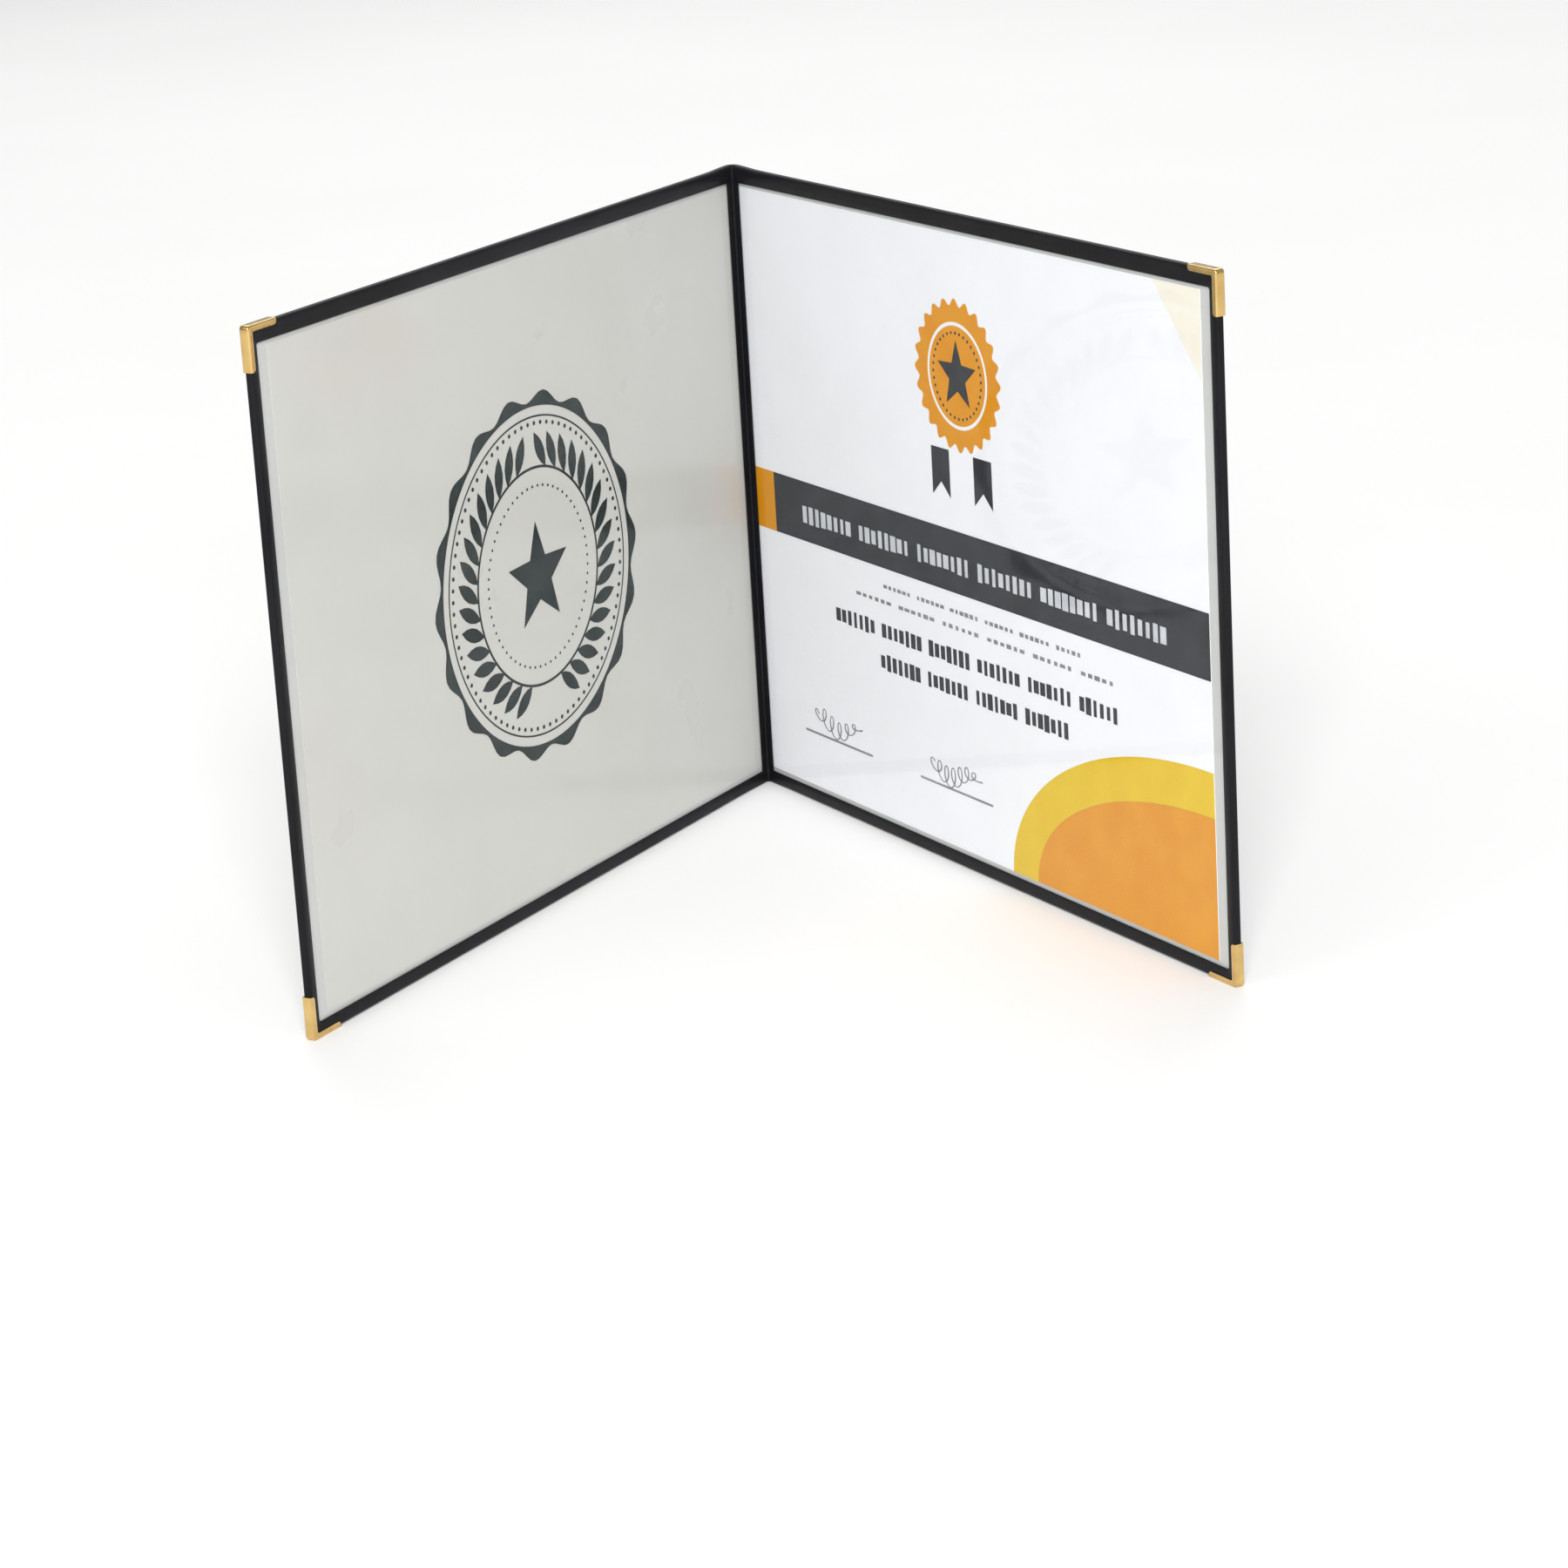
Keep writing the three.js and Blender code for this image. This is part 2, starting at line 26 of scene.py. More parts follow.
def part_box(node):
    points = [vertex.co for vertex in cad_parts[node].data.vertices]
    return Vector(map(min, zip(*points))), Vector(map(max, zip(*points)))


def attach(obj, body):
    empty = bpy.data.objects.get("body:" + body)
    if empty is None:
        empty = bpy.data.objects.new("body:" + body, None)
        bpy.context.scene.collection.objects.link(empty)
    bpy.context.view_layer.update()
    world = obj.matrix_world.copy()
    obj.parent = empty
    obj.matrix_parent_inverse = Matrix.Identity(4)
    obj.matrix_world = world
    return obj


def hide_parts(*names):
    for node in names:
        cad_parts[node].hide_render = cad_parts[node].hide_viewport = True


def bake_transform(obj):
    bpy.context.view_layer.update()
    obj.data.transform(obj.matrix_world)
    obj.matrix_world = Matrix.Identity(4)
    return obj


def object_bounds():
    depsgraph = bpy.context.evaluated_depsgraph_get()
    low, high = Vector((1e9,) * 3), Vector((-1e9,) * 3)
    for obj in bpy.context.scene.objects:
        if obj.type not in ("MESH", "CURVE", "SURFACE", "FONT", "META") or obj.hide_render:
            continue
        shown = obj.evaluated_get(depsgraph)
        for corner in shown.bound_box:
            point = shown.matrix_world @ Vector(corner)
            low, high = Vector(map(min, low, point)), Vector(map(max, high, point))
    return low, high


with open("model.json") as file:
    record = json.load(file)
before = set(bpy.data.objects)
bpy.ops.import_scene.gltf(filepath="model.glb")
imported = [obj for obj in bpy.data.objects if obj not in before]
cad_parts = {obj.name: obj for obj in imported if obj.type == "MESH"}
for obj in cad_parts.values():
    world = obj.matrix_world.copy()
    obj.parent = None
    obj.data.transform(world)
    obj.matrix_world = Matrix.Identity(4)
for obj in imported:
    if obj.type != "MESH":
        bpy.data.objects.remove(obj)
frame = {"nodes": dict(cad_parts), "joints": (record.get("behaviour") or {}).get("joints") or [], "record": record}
CAD_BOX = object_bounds()

MM = 0.001
WELD = 1e-7
LOG = logging.getLogger("diploma_cover")

Colour = tuple[float, float, float]
Spot = tuple[float, float]


class Side(Enum):
    """One of the two covers, by its body's name."""

    FRONT = "front_cover"
    BACK = "back_cover"

    @property
    def sign(self) -> int:
        """The sign of reach on this cover."""
        return -1 if self is Side.FRONT else 1

    @property
    def prefix(self) -> str:
        """The first word of this cover's node names."""
        return self.value.split("_")[0]


class Slot(Enum):
    """The record's material slots, one named in the call that makes each new piece."""

    VINYL = "black_vinyl"
    BRASS = "brass"
    DARK_INK = "dark_ink"
    CHARCOAL_INK = "charcoal_ink"
    GREY_INK = "grey_ink"


def mesh_points(mesh: Mesh) -> np.ndarray:
    """Returns a mesh's points as rows."""
    return np.array([vertex.co for vertex in mesh.vertices])


@dataclass(frozen=True)
class Fold:
    """What both covers share: the spine axis and how far they stand open.

    Args:
        axis_y: Where the spine axis stands along Y.
        half_opening: Half the angle between the covers, in radians.
        roll: The reach, on each side, that the roll round the spine takes up.
    """

    axis_y: float
    half_opening: float
    roll: float = 3.0 * MM

    @classmethod
    def of_frame(cls) -> "Fold":
        """Reads the fold from the cover hinge: its upper limit is the closed cover."""
        hinge = frame["joints"][0]
        return cls(hinge["pos_m"][1], math.radians(hinge["range_deg"][1]) / 2)

    def place(self, flat: np.ndarray) -> np.ndarray:
        """Bends flat points round the spine.

        Args:
            flat: An array of (reach, depth, up) rows.

        Returns:
            The same points in the frame.
        """
        reach, depth, up = flat[:, 0], flat[:, 1], flat[:, 2]
        turned = math.pi / 2 - self.half_opening
        share = np.clip(reach / self.roll, -1.0, 1.0)
        normal = share * turned
        along = np.maximum(np.abs(reach) - self.roll, 0.0)
        side = np.sign(reach)
        x = depth * np.sin(normal) + side * along * math.sin(self.half_opening)
        y = self.axis_y + depth * np.cos(normal) - along * math.cos(self.half_opening)
        return np.stack([x, y, up], axis=1)

    def flatten(self, points: np.ndarray, side: Side) -> np.ndarray:
        """Turns points of one cover back into (reach, depth, up).

        Args:
            points: An array of points in the frame.
            side: The cover that they lie on.

        Returns:
            The flat points.
        """
        x = points[:, 0] * side.sign
        y = points[:, 1] - self.axis_y
        sine, cosine = math.sin(self.half_opening), math.cos(self.half_opening)
        along = x * sine - y * cosine
        depth = x * cosine + y * sine
        return np.stack([side.sign * (along + self.roll), depth, points[:, 2]], axis=1)

    def extent(self, node: str, side: Side) -> tuple[np.ndarray, np.ndarray]:
        """Measures a node in its cover's own directions.

        Args:
            node: The node's name.
            side: The cover that it belongs to.

        Returns:
            The lowest and highest (distance from the spine, depth, up) of its corners.
        """
        flat = self.flatten(mesh_points(frame["nodes"][node].data), side)
        flat[:, 0] = np.abs(flat[:, 0])
        return flat.min(axis=0), flat.max(axis=0)


def cross_section(outer: Spot, inner: Spot, section: Iterable[Spot]) -> list[tuple[float, ...]]:
    """Stands (share, depth) points on the line between two (reach, up) points."""
    across, rise = inner[0] - outer[0], inner[1] - outer[1]
    return [(outer[0] + share * across, depth, outer[1] + share * rise) for share, depth in section]


def tube(
    name: str,
    fold: Fold,
    rings: Sequence[Sequence[Sequence[float]]],
    smooth_deg: float = 35.0,
    closed: bool = False,
) -> Object:
    """Makes a tube through rings of equally many points, bent round the spine.

    Args:
        name: The object's name.
        fold: The spine that it bends round.
        rings: The rings in order, each a closed loop of (reach, depth, up) points.
        smooth_deg: Edges that turn less than this look smooth.
        closed: Whether the last ring joins the first. An open tube gets end caps.

    Returns:
        The new object, linked to the scene.
    """
    count, size = len(rings), len(rings[0])
    faces = []
    for number in range(count if closed else count - 1):
        here, there = number * size, (number + 1) % count * size
        for index in range(size):
            after = (index + 1) % size
            faces.append((here + index, here + after, there + after, there + index))
    if not closed:
        faces.append(tuple(reversed(range(size))))
        faces.append(tuple(range((count - 1) * size, count * size)))
    flat = np.array(rings, dtype=float).reshape(-1, 3)
    mesh = bpy.data.meshes.new(name)
    mesh.from_pydata(fold.place(flat).tolist(), [], faces)
    return finished_object(name, mesh, smooth_deg)


def finished_object(name: str, mesh: Mesh, smooth_deg: float) -> Object:
    """Points a mesh's faces outwards, smooths its gentle edges and links it as an object.

    Args:
        name: The object's name.
        mesh: Its mesh, already in place.
        smooth_deg: Edges that turn less than this look smooth.

    Returns:
        The new object.
    """
    shell = bmesh.new()
    shell.from_mesh(mesh)
    bmesh.ops.remove_doubles(shell, verts=shell.verts, dist=WELD)
    bmesh.ops.recalc_face_normals(shell, faces=shell.faces)
    for face in shell.faces:
        face.smooth = True
    limit = math.radians(smooth_deg)
    for edge in shell.edges:
        edge.smooth = len(edge.link_faces) == 2 and edge.calc_face_angle(0.0) < limit
    shell.to_mesh(mesh)
    shell.free()
    obj = bpy.data.objects.new(name, mesh)
    bpy.context.scene.collection.objects.link(obj)
    return obj


def folded_edge(radius: float, near: float, far: float, steps: int) -> list[Spot]:
    """Rounds the two corners of a strip that is folded over an edge.

    Args:
        radius: Their outer radius.
        near: Depth of the strip's inner face.
        far: Depth of its outer face.
        steps: Steps in each corner.

    Returns:
        (distance from the edge, depth) points, from the inner face to the outer one.
    """
    turns = np.linspace(0.0, math.pi / 2, steps + 1)
    points = [(radius - radius * math.sin(t), near + radius - radius * math.cos(t)) for t in turns]
    points += [(radius - radius * math.cos(t), far - radius + radius * math.sin(t)) for t in turns]
    return points


class TreeWriter:
    """A node tree while it is being written."""

    def __init__(self, tree: bpy.types.NodeTree) -> None:
        """Takes the tree."""
        self.tree = tree

    def put(self, socket: NodeSocket, value: object) -> None:
        """Gives a socket its value.

        Args:
            socket: The socket.
            value: A socket to link it to, or the value to set.
        """
        if isinstance(value, NodeSocket):
            self.tree.links.new(value, socket)
        else:
            socket.default_value = value

    def fill(self, node: Node, **values: object) -> Node:
        """Gives a node's inputs their values.

        Args:
            node: The node.
            values: The values by input; an underscore stands for a space in an input's name.

        Returns:
            The node.
        """
        for name, value in values.items():
            self.put(node.inputs[name.replace("_", " ")], value)
        return node

    def add(self, kind: str, **values: object) -> Node:
        """Adds a node and fills its inputs."""
        return self.fill(self.tree.nodes.new(kind), **values)


@dataclass(frozen=True)
class Grain:
    """A pattern in a surface, with values from 0 to 1.

    Args:
        scale: Lumps per metre.
        detail: How many finer layers it has. Without any it is a cloud of round cells.
        roughness: How strong the finer layers are.
        stretch: How much denser its lumps are along each axis, once it is turned.
        turn: How far it is turned about Z, in radians.
    """

    scale: float
    detail: float = 0.0
    roughness: float = 0.5
    stretch: Colour = (1.0, 1.0, 1.0)
    turn: float = 0.0


class Shading(TreeWriter):
    """A material's node tree, with one Principled shader."""

    def __init__(self, name: str) -> None:
        """Starts the material.

        Args:
            name: Its name.
        """
        self.material = bpy.data.materials.new(name)
        self.material.use_nodes = True
        super().__init__(self.material.node_tree)
        self.shader = self.tree.nodes["Principled BSDF"]
        self.coordinates = self.add("ShaderNodeTexCoord").outputs["Object"]

    def set(self, **values: object) -> None:
        """Gives the shader's own sockets their values."""
        self.fill(self.shader, **values)

    def grain(self, grain: Grain) -> NodeSocket:
        """Adds a pattern.

        Args:
            grain: The pattern.

        Returns:
            Its value.
        """
        if not grain.detail:
            cells = self.add("ShaderNodeTexVoronoi", Scale=grain.scale, Vector=self.coordinates)
            return cells.outputs["Distance"]
        texture = self.add("ShaderNodeTexNoise", Scale=grain.scale, Detail=grain.detail)
        self.fill(texture, Roughness=grain.roughness, Vector=self.coordinates)
        if grain.turn:
            mapping = self.add("ShaderNodeMapping", Scale=grain.stretch, Rotation=(0.0, 0.0, grain.turn))
            self.fill(mapping, Vector=self.coordinates)
            self.fill(texture, Vector=mapping.outputs["Vector"])
        return texture.outputs["Fac"]

    def ramp(self, value: NodeSocket, low: float, high: float) -> NodeSocket:
        """Spreads a value from about 0.3 to 0.7 over low to high."""
        spread = self.add("ShaderNodeMapRange", Value=value, From_Min=0.3, From_Max=0.7)
        return self.fill(spread, To_Min=low, To_Max=high).outputs["Result"]

    def colour(self, value: NodeSocket, first: Colour, second: Colour) -> None:
        """Colours the shader between two colours.

        Args:
            value: What chooses between them.
            first: The colour for low values.
            second: The colour for high ones.
        """
        mix = self.add("ShaderNodeMix")
        mix.data_type = "RGBA"
        ends = [socket for socket in mix.inputs if socket.type == "RGBA"]
        for socket, shade in zip(ends, (first, second)):
            socket.default_value = (*shade, 1.0)
        self.fill(mix, Factor=self.ramp(value, 0.0, 1.0))
        self.set(Base_Color=next(socket for socket in mix.outputs if socket.type == "RGBA"))

    def rough(self, value: NodeSocket, low: float, high: float) -> None:
        """Lets the shader's roughness run from low to high with a value."""
        self.set(Roughness=self.ramp(value, low, high))

    def bump(self, value: NodeSocket, height: float, strength: float) -> None:
        """Adds relief, on top of any that is there.

        Args:
            value: What gives its height.
            height: Its height in metres.
            strength: The share of it that shows.
        """
        bump = self.add("ShaderNodeBump", Distance=height, Strength=strength, Height=value)
        normal = self.shader.inputs["Normal"]
        if normal.links:
            self.put(bump.inputs["Normal"], normal.links[0].from_socket)
        self.set(Normal=bump.outputs["Normal"])


@dataclass(frozen=True)
class Finish:
    """A surface that becomes one material.

    Args:
        name: The material's name.
        low: Its colour where the mottle is low.
        high: Its colour where the mottle is high.
        mottle: The pattern of its colour.
        sheen: The pattern of its roughness.
        rough: Its lowest and highest roughness.
        relief: (pattern, height, strength) of each layer of relief.
        values: What else its shader is set to.
    """

    name: str
    low: Colour
    high: Colour
    mottle: Grain
    sheen: Grain
    rough: Spot
    relief: Sequence[tuple[Grain, float, float]] = ()
    values: dict[str, float] = field(default_factory=dict)

    def material(self) -> Material:
        """Builds the material.

        Returns:
            The material.
        """
        shading = Shading(self.name)
        shading.set(**self.values)
        shading.colour(shading.grain(self.mottle), self.low, self.high)
        shading.rough(shading.grain(self.sheen), *self.rough)
        for pattern, height, strength in self.relief:
            shading.bump(shading.grain(pattern), height, strength)
        return shading.material


def vinyl(name: str, shine: float, gloss: float, grain: float, wave: float) -> Material:
    """Builds black calendered vinyl: a soft shine over a fine grain and slow waves.

    Args:
        name: The material's name.
        shine: The lowest roughness; the highest is a third more.
        gloss: How strongly it mirrors.
        grain: Height of the fine grain.
        wave: Height of the slow waves that bend reflections.

    Returns:
        The material.
    """
    low, high = (0.007, 0.007, 0.0085), (0.0115, 0.0115, 0.01375)
    relief = ((Grain(9.0, 1.0), wave, 0.6), (Grain(2100.0), grain, 0.5))
    mottle, sheen, rough = Grain(28.0, 4.0), Grain(60.0, 5.0, 0.6), (shine, shine * 1.35)
    values = {"Specular_IOR_Level": gloss}
    return Finish(name, low, high, mottle, sheen, rough, relief, values).material()


def paper(name: str, tint: Colour) -> Material:
    """Builds smooth coated paper with faint mottling and fibres.

    Args:
        name: The material's name.
        tint: Its colour.

    Returns:
        The material.
    """
    darker = tuple(0.965 * channel for channel in tint)
    mottle, sheen, fibres = Grain(35.0, 6.0, 0.65), Grain(400.0, 3.0), Grain(1600.0, 4.0, 0.7)
    relief, values = ((fibres, 0.006 * MM, 0.4),), {"Specular_IOR_Level": 0.3}
    return Finish(name, darker, tint, mottle, sheen, (0.54, 0.66), relief, values).material()


def ink(name: str, tint: Colour, thin: Colour) -> Material:
    """Builds a field of print: ink that lets a little paper through.

    Args:
        name: The material's name.
        tint: The full ink's colour.
        thin: The colour where the ink is thinnest.

    Returns:
        The material.
    """
    mottle, sheen, grain = Grain(90.0, 4.0), Grain(500.0, 2.0), Grain(1600.0, 3.0, 0.6)
    relief, values = ((grain, 0.0015 * MM, 0.2),), {"Specular_IOR_Level": 0.06}
    return Finish(name, tint, thin, mottle, sheen, (0.42, 0.55), relief, values).material()


def film(name: str, cover: float, haze: float) -> Material:
    """Builds clear window film: mostly see-through, with a wet shine that slow waves bend.

    Args:
        name: The material's name.
        cover: The share of light that it stops or mirrors.
        haze: Its highest roughness.

    Returns:
        The material.
    """
    low, high = (0.93, 0.95, 0.96), (0.98, 0.99, 1.0)
    mottle, sheen, waves = Grain(14.0, 3.0), Grain(22.0, 5.0, 0.6), Grain(16.0, 2.0)
    relief = ((waves, 0.3 * MM, 0.5),)
    values = {"Alpha": cover, "Metallic": 0.9, "Specular_IOR_Level": 1.0}
    return Finish(name, low, high, mottle, sheen, (haze / 3, haze), relief, values).material()


# Pressed, lacquered brass with fine slanted scratches and duller patches.
BRASS = Finish(
    "clip_brass",
    low=(0.58, 0.38, 0.13),
    high=(0.78, 0.54, 0.21),
    mottle=Grain(160.0, 5.0, 0.6),
    sheen=Grain(320.0, 5.0, 0.7),
    rough=(0.12, 0.28),
    relief=((Grain(1.0, 3.0, 0.6, (4000.0, 4000.0, 260.0), math.radians(30.0)), 0.003 * MM, 0.25),),
    values={"Metallic": 1.0, "Coat_Weight": 0.3, "Coat_Roughness": 0.1},
)
# Hot-stamped gold foil: satin metal with the grain of the vinyl under it.
FOIL = Finish(
    "stamped_foil",
    low=(0.54, 0.39, 0.19),
    high=(0.62, 0.46, 0.23),
    mottle=Grain(90.0, 6.0, 0.65),
    sheen=Grain(260.0, 4.0),
    rough=(0.26, 0.4),
    relief=((Grain(1700.0), 0.006 * MM, 0.6),),
    values={"Metallic": 0.92},
)
# Greyboard: pressed waste fibres.
BOARD = Finish(
    "greyboard",
    low=(0.21, 0.189, 0.154),
    high=(0.3, 0.27, 0.22),
    mottle=Grain(900.0, 8.0, 0.8),
    sheen=Grain(900.0, 8.0, 0.8),
    rough=(0.92, 0.92),
    relief=((Grain(700.0, 8.0, 0.8), 0.05 * MM, 0.6),),
)
# The pale floor, with a barely visible texture.
FLOOR = Finish(
    "pale_floor",
    low=(0.86, 0.86, 0.855),
    high=(0.88, 0.88, 0.875),
    mottle=Grain(3.0, 4.0),
    sheen=Grain(40.0, 2.0),
    rough=(0.75, 0.85),
    values={"Specular_IOR_Level": 0.1},
)


class Palette:
    """Every finish of the cover, each made once."""

    def __init__(self) -> None:
        """Builds the materials."""
        self.binding = vinyl("binding_vinyl", 0.3, gloss=0.1, grain=0.004 * MM, wave=0.12 * MM)
        self.skin = vinyl("skin_vinyl", 0.09, gloss=0.28, grain=0.002 * MM, wave=0.25 * MM)
        self.brass, self.foil, self.board = (kind.material() for kind in (BRASS, FOIL, BOARD))
        self.films = {
            Side.FRONT: film("front_film", cover=0.032, haze=0.3),
            Side.BACK: film("back_film", cover=0.036, haze=0.09),
        }
        self.liner = paper("liner_paper", (0.52, 0.53, 0.515))
        self.grey_sheet = paper("grey_sheet", (0.56, 0.56, 0.53))
        self.white_sheet = paper("white_sheet", (0.82, 0.835, 0.865))
        self.dark_ink = ink("dark_ink", (0.006, 0.012, 0.011), (0.025, 0.035, 0.033))
        self.charcoal_ink = ink("charcoal_ink", (0.02, 0.022, 0.028), (0.036, 0.038, 0.046))
        self.orange_ink = ink("orange_ink", (0.64, 0.25, 0.002), (0.68, 0.29, 0.008))
        self.yellow_ink = ink("yellow_ink", (0.66, 0.44, 0.004), (0.7, 0.49, 0.012))
        self.grey_ink = ink("grey_ink", (0.16, 0.17, 0.18), (0.28, 0.29, 0.3))
        self.pale_ink = ink("pale_ink", (0.5, 0.52, 0.55), (0.62, 0.64, 0.67))
        self.cream_ink = ink("cream_ink", (0.78, 0.74, 0.62), (0.82, 0.79, 0.7))

    def of_slot(self, slot: str, side: Side) -> Material:
        """Finds the finish that a node's material slot stands for.

        Args:
            slot: The slot's name.
            side: The cover that the node is on.

        Returns:
            The material.
        """
        named = {
            "black_vinyl": self.binding,
            "greyboard": self.board,
            "liner_paper": self.liner,
            "clear_film": self.films[side],
            "gold_foil": self.foil,
        }
        return named.get(slot) or getattr(self, slot)


def dress_frame(palette: Palette) -> None:
    """Gives every node of the frame its finish.

    Args:
        palette: The finishes.
    """
    for part in frame["record"]["subparts"]:
        node = frame["nodes"][part["node"]]
        side = Side.FRONT if part["node"].startswith(Side.FRONT.prefix) else Side.BACK
        node.data.materials.clear()
        node.data.materials.append(palette.of_slot(part["material_slot"], side))


@dataclass
class FlexiblePiece:
    """A length of vinyl that crosses the spine and bends with it, in steps across the roll."""

    fold: Fold
    palette: Palette
    roll_steps: int

    def settle(self, obj: Object, depth: float, material: Material) -> None:
        """Dresses a finished length and bakes its transform into its mesh.

        Args:
            obj: The piece.
            depth: How far it lies from the spine axis; not used.
            material: Its finish.
        """
        obj.data.materials.append(material)
        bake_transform(obj)
        LOG.info("%s: %d faces", obj.name, len(obj.data.polygons))

    def roll_reaches(self) -> list[float]:
        """Returns evenly spaced reaches across the roll, both ends included."""
        return list(np.linspace(-self.fold.roll, self.fold.roll, self.roll_steps + 1))

    def reaches(self, straight: float, pitch: float) -> list[float]:
        """Spaces reaches over both covers, closer together across the roll.

        Args:
            straight: The last one's distance from the spine.
            pitch: About how far apart they are outside the roll.

        Returns:
            The reaches, from the front cover to the back one.
        """
        count = max(2, round((straight - self.fold.roll) / pitch))
        away = list(np.linspace(self.fold.roll, straight, count + 1))[1:]
        return [-reach for reach in reversed(away)] + self.roll_reaches() + away


@dataclass
class EdgeBinding(FlexiblePiece):
    """The binding strip, folded over the edges of both covers in one closed loop.

    Args:
        roll_steps: Steps across the roll.
        fore_face: Width of its lip along the fore-edge.
        thick: Thickness of the strip.
        lip_thick: Thickness of the pressed edge of its lip.
        lip_soft: Width of the lip's rounding.
        fold_radius: Outer radius where it folds over the edge.
        fold_steps: Steps in each corner of that fold.
        corner_radius: Outer radius of the corners, seen from the front.
        lip_corner_radius: The same where the lips meet.
        corner_steps: Steps round a corner.
        seat: Distance from the spine over which its foot rises from the surface.
        pitch: Spacing of its sections along the straight edges.
    """

    roll_steps: int = 28
    fore_face: float = 3.9 * MM
    thick: float = 0.3 * MM
    lip_thick: float = 0.14 * MM
    lip_soft: float = 0.1 * MM
    fold_radius: float = 0.85 * MM
    fold_steps: int = 4
    corner_radius: float = 2.4 * MM
    lip_corner_radius: float = 0.9 * MM
    corner_steps: int = 8
    seat: float = 14.0 * MM
    pitch: float = 6.0 * MM

    def section(self, near: float, far: float, face: float) -> list[Spot]:
        """Returns the strip's closed section.

        Args:
            near: Depth of its inner face.
            far: Depth of its outer face.
            face: Width of the lip that the shares are taken of.

        Returns:
            (share of the lip's width from the edge, depth) points.
        """
        press, half_lip = self.thick - self.lip_thick, self.lip_thick / 2
        flat, middle, soft = self.fold_radius * 2.0, face * 0.55, face - self.lip_soft
        ease = press * 0.25
        points = [(face, near + press + half_lip), (soft, near + press), (middle, near + ease)]
        points.append((flat, near))
        points += folded_edge(self.fold_radius, near, far, self.fold_steps)
        points += [(flat, far), (middle, far - ease), (soft, far - press)]
        points += [(face, far - press - half_lip), (soft, far - self.thick)]
        points += [(self.thick, far - self.thick), (self.thick, near + self.thick)]
        points.append((soft, near + self.thick))
        return [(inset / face, depth) for inset, depth in points]

    def stations(self, low: np.ndarray, high: np.ndarray, window: Spot) -> list[tuple[Spot, Spot]]:
        """Returns the loop's stations.

        Args:
            low: The binding's lowest (distance, depth, up).
            high: Its highest.
            window: The lowest and highest edge of the window.

        Returns:
            (outer point, lip point) pairs round the loop, each point as (reach, up).
        """
        lip_end = high[0] - self.fore_face
        straight = lip_end - self.lip_corner_radius
        outer_turn = high[0] - self.corner_radius
        reaches = self.reaches(straight, self.pitch)
        quarter = np.linspace(0.0, math.pi / 2, self.corner_steps + 1)

        def rise(reach: float) -> float:
            """Returns how much of the foot's height is reached at a distance from the spine."""
            share = min(max((abs(reach) - self.fold.roll) / self.seat, 0.0), 1.0)
            return share * share * (3.0 - 2.0 * share)

        def corner(side: int, level: int, turn: float) -> tuple[Spot, Spot]:
            """Makes one station of a corner.

            Args:
                side: -1 for the front cover's corners, 1 for the back one's.
                level: -1 for the bottom corners, 1 for the top ones.
                turn: How far round the corner it is, in radians.

            Returns:
                Its outer point and its lip point.
            """
            cosine, sine = math.cos(turn), math.sin(turn)
            edge = low[2] if level < 0 else high[2]
            lip = window[0] if level < 0 else window[1]
            outer = (
                side * (outer_turn + self.corner_radius * cosine),
                edge - level * self.corner_radius * (1.0 - sine),
            )
            inner = (
                side * (straight + self.lip_corner_radius * cosine),
                lip - level * self.lip_corner_radius * (1.0 - sine),
            )
            return outer, inner

        top_gap = CAD_BOX[1][2] - high[2]
        bottom = [((reach, low[2] * rise(reach)), (reach, window[0])) for reach in reaches]
        top = [((reach, high[2] + top_gap * (1.0 - rise(reach))), (reach, window[1])) for reach in reaches]
        loop = bottom + [corner(1, -1, turn) for turn in reversed(quarter)]
        loop += [corner(1, 1, turn) for turn in quarter] + top[::-1]
        loop += [corner(-1, 1, turn) for turn in reversed(quarter)]
        loop += [corner(-1, -1, turn) for turn in quarter]
        return loop

    def build(self) -> None:
        """Sweeps the section round both covers."""
        low, high = self.fold.extent("back_edge_binding", Side.BACK)
        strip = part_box("hinge_strip")
        window = (strip[0].z, strip[1].z)
        section = self.section(low[1], high[1], window[0] - low[2])
        rings = [cross_section(*station, section) for station in self.stations(low, high, window)]
        binding = tube("edge_binding_loop", self.fold, rings, 50.0, closed=True)
        self.settle(binding, high[1], self.palette.binding)
        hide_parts("front_edge_binding", "back_edge_binding")


@dataclass
class OuterSkin(FlexiblePiece):
    """The black skin: one sheet over both covers that rolls round the spine.

    Args:
        roll_steps: Steps across the roll.
        corner_radius: Radius of its hidden corners.
        corner_steps: Steps round such a corner.
        pitch: Spacing of its columns.
        rows: How many points each column has on each face.
    """

    roll_steps: int = 24
    corner_radius: float = 2.0 * MM
    corner_steps: int = 6
    pitch: float = 12.0 * MM
    rows: int = 13

    def build(self) -> None:
        """Makes the sheet as a closed grid with two faces."""
        low, high = self.fold.extent("back_outer_skin", Side.BACK)
        bottom, top = low[2], high[2]
        radius = self.corner_radius
        straight = high[0] - radius
        bends = []
        for turn in np.linspace(0.0, math.pi / 2, self.corner_steps + 1)[1:]:
            bends.append((straight + radius * math.sin(turn), radius * (1.0 - math.cos(turn))))
        spans = [(-reach, rise) for reach, rise in reversed(bends)]
        spans += [(reach, 0.0) for reach in self.reaches(straight, self.pitch)] + bends
        rings = []
        for reach, rise in spans:
            ups = list(np.linspace(bottom + rise, top - rise, self.rows))
            inside, outside = [(reach, low[1], up) for up in ups], [(reach, high[1], up) for up in ups]
            rings.append(inside + outside[::-1])
        skin = tube("outer_skin", self.fold, rings, 40.0)
        self.settle(skin, high[1], self.palette.skin)
        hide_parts("front_outer_skin", "back_outer_skin", "spine_skin")


